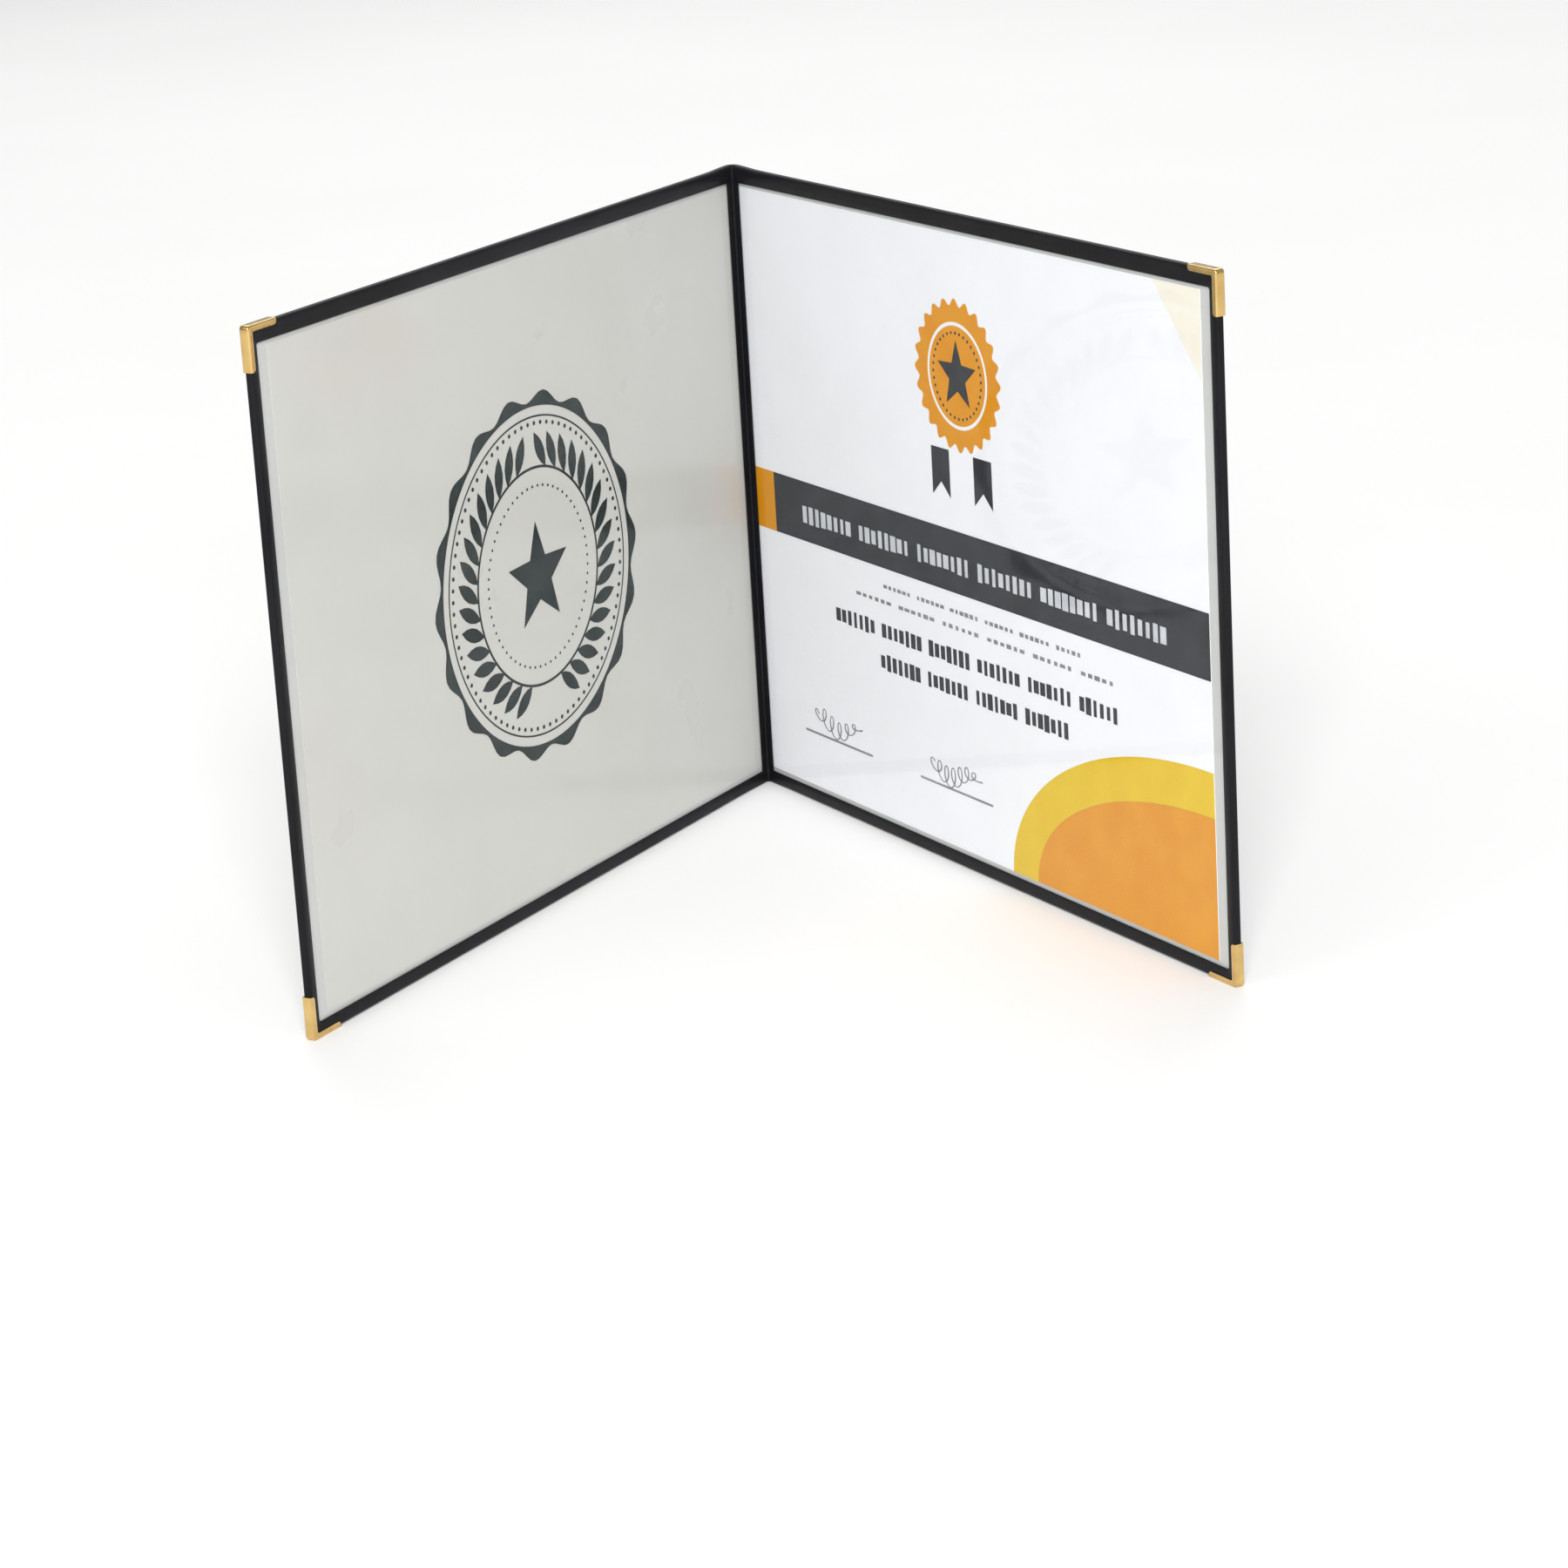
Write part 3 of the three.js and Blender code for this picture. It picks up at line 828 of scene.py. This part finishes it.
@dataclass
class HingeStrip(FlexiblePiece):
    """The narrow strip over the fold between the windows, pressed thin along its long edges.

    Args:
        roll_steps: Steps across the roll.
        edge: Width of the slope down to each long edge.
        edge_drop: How far outside the strip's middle that edge lies.
        rows: Steps from foot to head.
    """

    roll_steps: int = 20
    edge: float = 0.5 * MM
    edge_drop: float = 0.05 * MM
    rows: int = 24

    def build(self) -> None:
        """Makes the strip as a tube that runs from foot to head."""
        points = mesh_points(frame["nodes"]["hinge_strip"].data)
        right = points[points[:, 0] > np.abs(points[:, 0]).max() / 2]
        flat = self.fold.flatten(right, Side.BACK)
        low, high = flat.min(axis=0), flat.max(axis=0)
        arm, near, far = high[0], low[1], high[1]
        edge_depth = (near + far) / 2 + self.edge_drop
        face = [-arm + self.edge] + self.roll_reaches() + [arm - self.edge]
        section = [(-arm, edge_depth)] + [(reach, near) for reach in face]
        section += [(arm, edge_depth)] + [(reach, far) for reach in reversed(face)]
        ups = np.linspace(low[2], high[2], self.rows + 1)
        rings = [[(reach, depth, up) for reach, depth in section] for up in ups]
        strip = tube("fold_strip", self.fold, rings, 50.0)
        self.settle(strip, far, self.palette.binding)
        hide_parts("hinge_strip")


@dataclass
class RigidPiece:
    """Something that rides on one cover."""

    fold: Fold
    side: Side
    palette: Palette

    def attach(self, obj: Object, slot: Slot, material: Material | None = None) -> Object:
        """Ties a finished piece to the cover.

        Args:
            obj: The piece.
            slot: Its material slot; not used.
            material: Its finish, or None where its mesh has one.

        Returns:
            The piece.
        """
        if material:
            obj.data.materials.append(material)
        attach(obj, self.side.value)
        LOG.info("%s: %d faces", obj.name, len(obj.data.polygons))
        return obj


@dataclass
class CornerClip(RigidPiece):
    """A pressed brass clip: one strip of metal folded over both edges of an outer corner.

    Args:
        level: 1 for the top corner, -1 for the bottom one.
        leg: Length of each leg.
        face: Width of its narrow faces.
        thick: Thickness of the metal.
        fold_radius: Outer radius of its folds.
        fold_steps: Steps in each fold.
        outer_radius: Radius of its corner, seen from the front.
        inner_radius: The same inside the corner.
        end_radius: Radius of the inner corner of each leg's end.
        edge_radius: Size of the softened edges.
        points: Stations round each of those corners.
    """

    level: int
    leg: float = 14.5 * MM
    face: float = 2.1 * MM
    thick: float = 0.33 * MM
    fold_radius: float = 0.5 * MM
    fold_steps: int = 5
    outer_radius: float = 1.3 * MM
    inner_radius: float = 0.6 * MM
    end_radius: float = 1.1 * MM
    edge_radius: float = 0.1 * MM
    points: int = 8

    def section(self, near: float, far: float, face: float) -> list[Spot]:
        """Returns the folded metal's closed section.

        Args:
            near: Depth of its inner face.
            far: Depth of its outer face.
            face: Width of its faces at this section.

        Returns:
            (share of the full face from the edge, depth) points.
        """
        thick, corner = self.thick, self.edge_radius * 0.3
        soft, cut = face - self.edge_radius, face - corner
        points = [(face, near + thick / 2), (cut, near + corner), (soft, near)]
        points += folded_edge(self.fold_radius, near, far, self.fold_steps)
        points += [(soft, far), (cut, far - corner), (face, far - thick / 2)]
        points += [(cut, far - thick + corner), (soft, far - thick)]
        points += [(thick, far - thick), (thick, near + thick)]
        points += [(soft, near + thick), (cut, near + thick - corner)]
        return [(inset / self.face, depth) for inset, depth in points]

    def leg_stations(self) -> list[Spot]:
        """Spaces the stations along a leg.

        Returns:
            (distance from the corner, width of the faces) pairs, from the leg's end inwards.
        """
        rounded = []
        for turn in np.linspace(0.0, math.pi / 2, self.points):
            distance = self.leg - self.end_radius * (1.0 - math.cos(turn))
            rounded.append((distance, self.face - self.end_radius * (1.0 - math.sin(turn))))
        straight = self.leg - self.face - self.inner_radius
        return rounded + [(self.leg - share * straight, self.face) for share in (0.3, 0.65, 1.0)]

    def stations(self) -> list[tuple[Spot, Spot, float]]:
        """Returns the clip's stations.

        Returns:
            (outer point, inner point, width of the faces) rows, each point as its distances
            inwards from the fore-edge and from the cover's top or bottom.
        """
        legs = self.leg_stations()
        rows = [((0.0, inset), (self.face, inset), face) for inset, face in legs]
        for turn in np.linspace(0.0, math.pi / 2, self.points):
            across, down = 1.0 - math.cos(turn), 1.0 - math.sin(turn)
            outer = (self.outer_radius * across, self.outer_radius * down)
            inner = (self.face + self.inner_radius * across, self.face + self.inner_radius * down)
            rows.append((outer, inner, self.face))
        rows += [((inset, 0.0), (inset, self.face), face) for inset, face in reversed(legs)]
        return rows

    def build(self) -> None:
        """Sweeps the section along both legs and round the corner."""
        name = "top" if self.level > 0 else "bottom"
        node = f"{self.side.prefix}_{name}_clip"
        low, high = self.fold.extent(node, self.side)
        edge = high[2] if self.level > 0 else low[2]

        def spot(inwards: Spot) -> Spot:
            """Returns the (reach, up) of a point given by its distances inwards."""
            return self.side.sign * (high[0] - inwards[0]), edge - self.level * inwards[1]

        rings = []
        for outer, inner, face in self.stations():
            section = self.section(low[1], high[1], face)
            rings.append(cross_section(spot(outer), spot(inner), section))
        clip = tube(f"{self.side.prefix}_{name}_corner", self.fold, rings, 50.0)
        self.attach(clip, Slot.BRASS, self.palette.brass)
        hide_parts(node)


class Recipe(TreeWriter):
    """A Geometry Nodes tree with named inputs, which makes one plain mesh at a time."""

    def __init__(self, name: str, material: Material) -> None:
        """Starts a tree that ends in Realize Instances and Set Material.

        Args:
            name: The tree's name.
            material: The finish that it sets.
        """
        super().__init__(bpy.data.node_groups.new(name, "GeometryNodeTree"))
        self.tree.interface.new_socket("Geometry", in_out="OUTPUT", socket_type="NodeSocketGeometry")
        self.inputs = self.add("NodeGroupInput")
        self.realize = self.add("GeometryNodeRealizeInstances")
        realized = self.realize.outputs["Geometry"]
        finish = self.add("GeometryNodeSetMaterial", Geometry=realized, Material=material)
        self.add("NodeGroupOutput", Geometry=finish.outputs["Geometry"])
        self.identifiers: dict[str, str] = {}

    def input(self, name: str, kind: str = "NodeSocketFloat") -> NodeSocket:
        """Adds a named input to the tree.

        Args:
            name: Its name.
            kind: The type of its socket.

        Returns:
            Its socket inside the tree.
        """
        socket = self.tree.interface.new_socket(name, in_out="INPUT", socket_type=kind)
        self.identifiers[name] = socket.identifier
        return self.inputs.outputs[name]

    def feed(self, node: Node, *values: object) -> NodeSocket:
        """Gives a node's first inputs their values in order.

        Args:
            node: The node.
            values: Sockets or numbers.

        Returns:
            Its first output.
        """
        for socket, value in zip(node.inputs, values):
            self.put(socket, value)
        return node.outputs[0]

    def math(self, operation: str, first: object, second: object) -> NodeSocket:
        """Does a sum on sockets or numbers.

        Args:
            operation: The sum's name.
            first: Its first value.
            second: Its second value.

        Returns:
            The result.
        """
        node = self.add("ShaderNodeMath")
        node.operation = operation
        return self.feed(node, first, second)

    def vector(self, *parts: object) -> NodeSocket:
        """Returns a vector of three sockets or numbers."""
        return self.feed(self.add("ShaderNodeCombineXYZ"), *parts)

    def scatter(self, points: Node, instance: Node, **values: object) -> None:
        """Sets an instance on each point and leads them to the tree's end.

        Args:
            points: The node that makes the mesh of points.
            instance: The node that makes the instance.
            values: Further inputs of the node that places them.
        """
        placed = self.add("GeometryNodeInstanceOnPoints", Points=points.outputs["Mesh"], **values)
        self.fill(placed, Instance=instance.outputs["Mesh"])
        self.fill(self.realize, Geometry=placed.outputs["Instances"])

    def make(self, **values: float) -> Mesh:
        """Runs the tree.

        Args:
            values: The inputs by name.

        Returns:
            A plain mesh, drawn in X and Y with its thickness along Z.
        """
        carrier = bpy.data.objects.new("carrier", bpy.data.meshes.new("carrier"))
        bpy.context.scene.collection.objects.link(carrier)
        modifier = carrier.modifiers.new("recipe", "NODES")
        modifier.node_group = self.tree
        for name, value in values.items():
            modifier[self.identifiers[name]] = value
        bpy.context.view_layer.update()
        graph = bpy.context.evaluated_depsgraph_get()
        made = bpy.data.meshes.new_from_object(carrier.evaluated_get(graph), depsgraph=graph)
        carrier.modifiers.remove(modifier)
        bpy.data.objects.remove(carrier)
        return made


def bead_recipe(material: Material) -> Recipe:
    """Makes the tree for a ring of round beads.

    Args:
        material: Their finish.

    Returns:
        A recipe with the inputs Radius, Bead, Thick and Count.
    """
    recipe = Recipe("bead_ring", material)
    radius, bead, thick = (recipe.input(name) for name in ("Radius", "Bead", "Thick"))
    count = recipe.input("Count", "NodeSocketInt")
    circle = recipe.add("GeometryNodeMeshCircle", Vertices=count, Radius=radius)
    disc = recipe.add("GeometryNodeMeshCylinder", Vertices=14, Radius=bead, Depth=thick)
    recipe.scatter(circle, disc)
    return recipe


def word_recipe(material: Material) -> Recipe:
    """Makes the tree for a row of plain strokes that stands for a line of words.

    Args:
        material: The strokes' finish.

    Returns:
        A recipe with the inputs Width, Height, Thick, Strokes, Word and Seed.
    """
    recipe = Recipe("word_row", material)
    width, height, thick = (recipe.input(name) for name in ("Width", "Height", "Thick"))
    strokes, word, seed = (recipe.input(name, "NodeSocketInt") for name in ("Strokes", "Word", "Seed"))
    pitch = recipe.math("DIVIDE", width, strokes)
    first = recipe.math("MULTIPLY", recipe.math("SUBTRACT", width, pitch), -0.5)
    row = recipe.add("GeometryNodeMeshLine", Count=strokes)
    row.mode, row.count_mode = "OFFSET", "TOTAL"
    recipe.fill(row, Start_Location=recipe.vector(first, 0.0, 0.0))
    recipe.fill(row, Offset=recipe.vector(pitch, 0.0, 0.0))
    stroke = recipe.add("GeometryNodeMeshCube", Size=recipe.vector(pitch, height, thick))
    place = recipe.math("MODULO", recipe.add("GeometryNodeInputIndex").outputs[0], word)
    filled = recipe.math("LESS_THAN", place, recipe.math("SUBTRACT", word, 1.5))
    spread = recipe.add("FunctionNodeRandomValue")
    spread.data_type = "FLOAT_VECTOR"
    recipe.fill(spread, Min=(0.42, 0.72, 1.0), Max=(0.82, 1.0, 1.0), Seed=seed)
    recipe.scatter(row, stroke, Selection=filled, Scale=spread.outputs["Value"])
    return recipe


@dataclass(frozen=True)
class Field:
    """Where one piece of print lies on its cover: its middle, its size and its depth."""

    reach: float
    up: float
    width: float
    height: float
    depth: float


@dataclass(frozen=True)
class Strokes:
    """What fills a row of strokes.

    Args:
        count: How many strokes it has room for.
        seed: The seed of their sizes.
        word: Strokes from one gap to the next, with the gap.
    """

    count: int
    seed: int
    word: int = 7


@dataclass
class PrintedMatter(RigidPiece):
    """Print on one cover: what its nodes leave to small shapes.

    Args:
        thick: Thickness of the small shapes' ink.
    """

    thick: float = 0.03 * MM

    def measure(self, node: str) -> Field:
        """Measures one of the cover's print nodes.

        Args:
            node: Its name without the cover's.

        Returns:
            Its field, at the depth of its inner face.
        """
        low, high = self.fold.extent(f"{self.side.prefix}_{node}", self.side)
        reach, _, up = (low + high) / 2
        width, _, height = high - low
        return Field(self.side.sign * reach, up, width, height, low[1])

    def lay(self, name: str, mesh: Mesh, place: Field, slot: Slot) -> Object:
        """Lays a mesh that is drawn in X and Y on the cover.

        Args:
            name: The new object's name.
            mesh: The mesh, with its thickness along Z.
            place: Where its middle goes.
            slot: Its material slot.

        Returns:
            The object, riding on the cover.
        """
        across, rise, lift = mesh_points(mesh).T
        flat = np.stack([across + place.reach, place.depth - lift, rise + place.up], axis=1)
        mesh.vertices.foreach_set("co", self.fold.place(flat).ravel())
        mesh.update()
        return self.attach(finished_object(name, mesh, 30.0), slot)

    def bead_ring(
        self, name: str, recipe: Recipe, place: Field, slot: Slot, radius: float, bead: float, count: int
    ) -> None:
        """Lays a ring of count beads, given the ring's radius and a bead's."""
        mesh = recipe.make(Radius=radius, Bead=bead, Thick=self.thick, Count=count)
        self.lay(name, mesh, place, slot)

    def stroke(self, name: str, path: np.ndarray, widths: np.ndarray, depth: float) -> None:
        """Draws a pen stroke in grey ink.

        Args:
            name: The new object's name.
            path: (reach, up) points along the stroke.
            widths: The stroke's width at each point.
            depth: The depth of its middle.
        """
        heading = np.gradient(path, axis=0)
        heading /= np.linalg.norm(heading, axis=1)[:, None]
        across = np.stack([-heading[:, 1], heading[:, 0]], axis=1) * widths[:, None] / 2
        near, far = depth - self.thick / 2, depth + self.thick / 2
        section = [(0.0, near), (1.0, near), (1.0, far), (0.0, far)]
        rings = [cross_section(*ends, section) for ends in zip(path + across, path - across)]
        self.attach(tube(name, self.fold, rings), Slot.GREY_INK, self.palette.grey_ink)

    def plate(
        self, name: str, outline: Sequence[Spot], depth: float, slot: Slot, material: Material
    ) -> None:
        """Adds a thin plate of ink.

        Args:
            name: The new object's name.
            outline: (reach, up) points round it.
            depth: The depth of its middle.
            slot: Its material slot.
            material: Its finish.
        """
        near, far = depth - self.thick / 2, depth + self.thick / 2
        rings = [[(reach, level, up) for reach, up in outline] for level in (near, far)]
        self.attach(tube(name, self.fold, rings), slot, material)

    def star(self, name: str, place: Field, radius: float, slot: Slot, material: Material) -> None:
        """Draws a plain five-pointed star.

        Args:
            name: The new object's name.
            place: Where its middle goes.
            radius: From its middle to a point.
            slot: Its material slot.
            material: Its finish.
        """
        outline = []
        for index in range(10):
            angle = math.pi / 2 + index * math.pi / 5
            out = radius * (0.42 if index % 2 else 1.0)
            outline.append((place.reach + out * math.cos(angle), place.up + out * math.sin(angle)))
        self.plate(name, outline, place.depth, slot, material)


@dataclass
class Seal(PrintedMatter):
    """The rosette seal on the front sheet: bead rings round its wreath and its star.

    Args:
        outer_beads: How many beads the outer ring has.
        outer_bead: Their radius.
        outer_margin: Gap between the seal's line and that ring.
        inner_beads: How many beads the inner ring has.
        inner_bead: Their radius.
        inner_gap: Gap between the star and that ring.
    """

    outer_beads: int = 84
    outer_bead: float = 0.75 * MM
    outer_margin: float = 2.6 * MM
    inner_beads: int = 60
    inner_bead: float = 0.5 * MM
    inner_gap: float = 12.8 * MM

    def build(self) -> None:
        """Adds the rings of beads."""
        line = self.measure("seal_line")
        place = replace(line, depth=line.depth + self.thick)
        outer = line.width / 2 - self.outer_margin
        inner = self.measure("seal_star").width / 2 + self.inner_gap
        recipe = bead_recipe(self.palette.dark_ink)
        for name, radius, bead, count in (
            ("seal_outer_beads", outer, self.outer_bead, self.outer_beads),
            ("seal_inner_beads", inner, self.inner_bead, self.inner_beads),
        ):
            self.bead_ring(name, recipe, place, Slot.DARK_INK, radius, bead, count)


@dataclass(frozen=True)
class PenHand:
    """The hand that makes the pen marks.

    Args:
        loops: Loops in a mark, before its rule's number is added.
        start: Where it starts, as a share of the rule's width from its middle.
        span: How far it runs, as a share of that width.
        lift: Its height over the rule.
        swing: How high its first loops are.
        loss: How much less that is at the end.
        lean: How wide its loops are.
        drift: How far the line strays up and down.
        drift_turns: How fast it does so.
        pen: Its greatest width.
        points: Points along it.
    """

    loops: float = 5.0
    start: float = -0.34
    span: float = 0.66
    lift: float = 6.0 * MM
    swing: float = 4.6 * MM
    loss: float = 2.2 * MM
    lean: float = 2.2 * MM
    drift: float = 2.0 * MM
    drift_turns: float = 7.0
    pen: float = 0.75 * MM
    points: int = 160

    def draw(self, rule: Field, index: int) -> tuple[np.ndarray, np.ndarray]:
        """Draws the mark over one signing rule, the same on every run.

        Args:
            rule: The rule.
            index: Its number, from 1.

        Returns:
            The (reach, up) points of the mark and its width at each of them.
        """
        share = np.linspace(0.0, 1.0, self.points)
        phase = share * (self.loops + index) * 2.0 * math.pi
        fade = np.sin(share * math.pi) ** 0.6
        across = rule.reach + rule.width * (self.start + self.span * share)
        rise = rule.up + self.lift + (self.swing - self.loss * share) * np.sin(phase) * fade
        rise += self.drift * np.sin(share * self.drift_turns + index)
        widths = self.pen * (0.55 + 0.45 * np.cos(phase) ** 2)
        return np.stack([across + self.lean * np.cos(phase), rise], axis=1), widths


@dataclass
class Certificate(PrintedMatter):
    """The certificate on the back sheet: strokes for its words, a star and two pen marks.

    Args:
        lift: How far print on other print stands above that one's inner face.
        headings: The strokes of its two large rows.
        band_text: The strokes of the row on the band.
        band_share: That row's width and height, as shares of the band's.
        band_drop: How far below the band's middle it lies, as a share of its height.
        small_rows: Height over the middle between band and first heading, share of the band's
            width, and strokes of each small row.
        small_height: The small rows' height.
        star_share: The radius of the medal's star, as a share of the core's width.
        ring_share: The radius of its ring of beads, as the same share.
        ring_bead: The radius of those beads.
        ring_beads: How many there are.
        corner_size: Width and height of the cream corner.
        hand: The hand that signs it.
    """

    lift: float = 0.025 * MM
    headings: tuple[Strokes, ...] = (Strokes(46, 1, 8), Strokes(31, 2, 8))
    band_text: Strokes = Strokes(54, 11, 9)
    band_share: Spot = (0.86, 0.3)
    band_drop: float = 0.05
    small_rows: tuple[tuple[float, float, Strokes], ...] = (
        (3.4 * MM, 0.46, Strokes(40, 21)),
        (-2.4 * MM, 0.6, Strokes(40, 22)),
    )
    small_height: float = 1.6 * MM
    star_share: float = 0.36
    ring_share: float = 0.43
    ring_bead: float = 0.55 * MM
    ring_beads: int = 36
    corner_size: Spot = (25.0 * MM, 29.0 * MM)
    hand: PenHand = PenHand()

    def words(self, name: str, row: Field, strokes: Strokes, slot: Slot, ink: Material) -> Object:
        """Lays one row of strokes.

        Args:
            name: The new object's name.
            row: Its field, at the depth of its middle.
            strokes: What fills it.
            slot: Its material slot.
            ink: Its ink.

        Returns:
            The row.
        """
        sizes = {"Width": row.width, "Height": row.height, "Thick": self.thick}
        counts = {"Strokes": strokes.count, "Word": strokes.word, "Seed": strokes.seed}
        return self.lay(name, word_recipe(ink).make(**sizes, **counts), row, slot)

    def build(self) -> None:
        """Adds the rows of strokes, the medal's star and beads, and the pen marks."""
        for index, strokes in enumerate(self.headings, start=1):
            row = self.measure(f"heading_{index}")
            row = replace(row, depth=row.depth + self.thick)
            ink = self.palette.charcoal_ink
            heading = self.words(f"heading_row_{index}", row, strokes, Slot.CHARCOAL_INK, ink)
            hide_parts(f"back_heading_{index}")
        band = self.measure("band")
        self.add_small_rows(band)
        self.add_medal_marks()
        self.add_top_corner(band.depth)
        for index in (1, 2):
            rule = self.measure(f"sign_rule_{index}")
            path, widths = self.hand.draw(rule, index)
            self.stroke(f"pen_mark_{index}", path, widths, rule.depth + self.thick)

    def add_small_rows(self, band: Field) -> None:
        """Adds the pale row on the band and the small grey rows.

        Args:
            band: The band.
        """
        width, height = band.width * self.band_share[0], band.height * self.band_share[1]
        up, depth = band.up - self.band_drop * band.height, band.depth - self.lift
        pale = Field(band.reach, up, width, height, depth)
        self.words("band_row", pale, self.band_text, Slot.GREY_INK, self.palette.pale_ink)
        heading = self.measure("heading_1")
        between = (band.up - band.height / 2 + heading.up + heading.height / 2) / 2
        depth = band.depth + self.thick
        for index, (rise, share, strokes) in enumerate(self.small_rows, start=1):
            row = Field(band.reach, between + rise, band.width * share, self.small_height, depth)
            self.words(f"small_row_{index}", row, strokes, Slot.GREY_INK, self.palette.grey_ink)

    def add_medal_marks(self) -> None:
        """Adds the star and the ring of beads on the medal."""
        core = self.measure("medal_core")
        place = replace(core, depth=core.depth - self.lift)
        ink, slot = self.palette.charcoal_ink, Slot.CHARCOAL_INK
        self.star("medal_star", place, core.width * self.star_share, slot, ink)
        radius = core.width * self.ring_share
        recipe = bead_recipe(ink)
        self.bead_ring("medal_beads", recipe, place, slot, radius, self.ring_bead, self.ring_beads)

    def add_top_corner(self, depth: float) -> None:
        """Adds the cream field in the sheet's top corner by the fore-edge.

        Args:
            depth: The depth of the inner face of the print round it.
        """
        _, (right, _, top) = self.fold.extent("back_sheet", self.side)
        across, down = self.corner_size
        outline = [(right - across, top), (right, top - down), (right, top)]
        cream = self.palette.cream_ink
        self.plate("cream_corner", outline, depth + self.thick, Slot.GREY_INK, cream)


@dataclass
class FoilEmblem(PrintedMatter):
    """The plain star on the foil plate outside the front cover.

    Args:
        star_share: From its middle to a point, as a share of the plate's height.
    """

    star_share: float = 0.3

    def build(self) -> None:
        """Adds the star on the plate."""
        plate = self.measure("foil_plate")
        _, far = self.fold.extent("front_foil_plate", self.side)
        place = replace(plate, depth=far[1] + self.thick / 2)
        radius = plate.height * self.star_share
        self.star("foil_star", place, radius, Slot.VINYL, self.palette.skin)


@dataclass(frozen=True)
class Lamp:
    """A square soft light that faces the cover: where it hangs, its side and its power in watts."""

    name: str
    place: tuple[float, float, float]
    size: float
    power: float

    def hang(self, target: Vector) -> None:
        """Adds the light.

        Args:
            target: The point that it faces.
        """
        light = bpy.data.lights.new(self.name, "AREA")
        light.size = self.size
        light.energy = self.power
        lamp = bpy.data.objects.new(self.name, light)
        lamp.location = self.place
        lamp.rotation_euler = (target - Vector(self.place)).to_track_quat("-Z", "Y").to_euler()
        bpy.context.scene.collection.objects.link(lamp)


@dataclass
class Studio:
    """The pale floor, the soft lights and the camera at the photograph's angle.

    Args:
        fold: The spine, from which the camera's place is given.
        eye: The camera's place from the foot of the spine axis.
        forward: The way it looks.
        right: The way its picture's right side points.
        lens_share: Its focal length as a share of the picture's width.
        sensor: The width of its sensor in millimetres.
        lamps: The lights.
        target: What the lights face.
        surround: The strength of the white surround.
        floor_reach: How far the floor reaches to each side.
    """

    fold: Fold
    eye: tuple[float, float, float] = (0.0154, -1.568, 0.4782)
    forward: tuple[float, float, float] = (-0.006, 0.9563, -0.2922)
    right: tuple[float, float, float] = (0.9983, -0.0112, -0.057)
    lens_share: float = 2.82
    sensor: float = 36.0
    lamps: tuple[Lamp, ...] = (
        Lamp("front", (0.0, -4.2, 2.3), size=1.8, power=250.0),
        Lamp("key", (-1.8, -1.2, 1.6), size=1.2, power=4.0),
        Lamp("back", (0.0, 2.3, 2.6), size=2.5, power=44.0),
    )
    target: tuple[float, float, float] = (0.0, 0.0, 0.1)
    surround: float = 0.46
    floor_reach: float = 12.0

    def build(self) -> None:
        """Adds the floor, the lights, the world and the camera."""
        self.add_floor()
        for lamp in self.lamps:
            lamp.hang(Vector(self.target))
        self.light_world()
        self.add_camera()
        bpy.context.scene.view_settings.view_transform = "Standard"

    def add_floor(self) -> None:
        """Adds a wide pale floor with a barely visible texture."""
        mesh = bpy.data.meshes.new("floor")
        far = self.floor_reach
        corners = [(-far, -far, 0.0), (far, -far, 0.0), (far, far, 0.0), (-far, far, 0.0)]
        mesh.from_pydata(corners, [], [(0, 1, 2, 3)])
        floor = bpy.data.objects.new("floor", mesh)
        bpy.context.scene.collection.objects.link(floor)
        mesh.materials.append(FLOOR.material())

    def light_world(self) -> None:
        """Lights everything from a plain white surround."""
        world = bpy.data.worlds.new("studio")
        world.use_nodes = True
        background = world.node_tree.nodes["Background"]
        background.inputs["Color"].default_value = (1.0, 1.0, 1.0, 1.0)
        background.inputs["Strength"].default_value = self.surround
        bpy.context.scene.world = world

    def add_camera(self) -> None:
        """Adds the camera, from its place and the way it looks."""
        data = bpy.data.cameras.new("camera")
        data.sensor_width = self.sensor
        data.lens = self.lens_share * self.sensor
        data.clip_start = 0.01
        camera = bpy.data.objects.new("camera", data)
        forward = Vector(self.forward).normalized()
        right = Vector(self.right)
        right = (right - forward * right.dot(forward)).normalized()
        up = right.cross(forward)
        turn = Matrix((right, up, -forward)).transposed().to_4x4()
        foot = Vector((0.0, self.fold.axis_y, 0.0))
        camera.matrix_world = Matrix.Translation(foot + Vector(self.eye)) @ turn
        bpy.context.scene.collection.objects.link(camera)
        bpy.context.scene.camera = camera


def main() -> None:
    """Dresses the cover, piece by piece, and sets up the studio."""
    logging.basicConfig(level=logging.INFO, format="%(name)s: %(message)s")
    fold = Fold.of_frame()
    palette = Palette()
    Studio(fold).build()
    dress_frame(palette)
    for flexible in (EdgeBinding, OuterSkin, HingeStrip):
        flexible(fold, palette).build()
    for side in Side:
        for level in (1, -1):
            CornerClip(fold, side, palette, level).build()
    Seal(fold, Side.FRONT, palette).build()
    Certificate(fold, Side.BACK, palette).build()
    FoilEmblem(fold, Side.FRONT, palette).build()


if __name__ == "__main__":
    main()
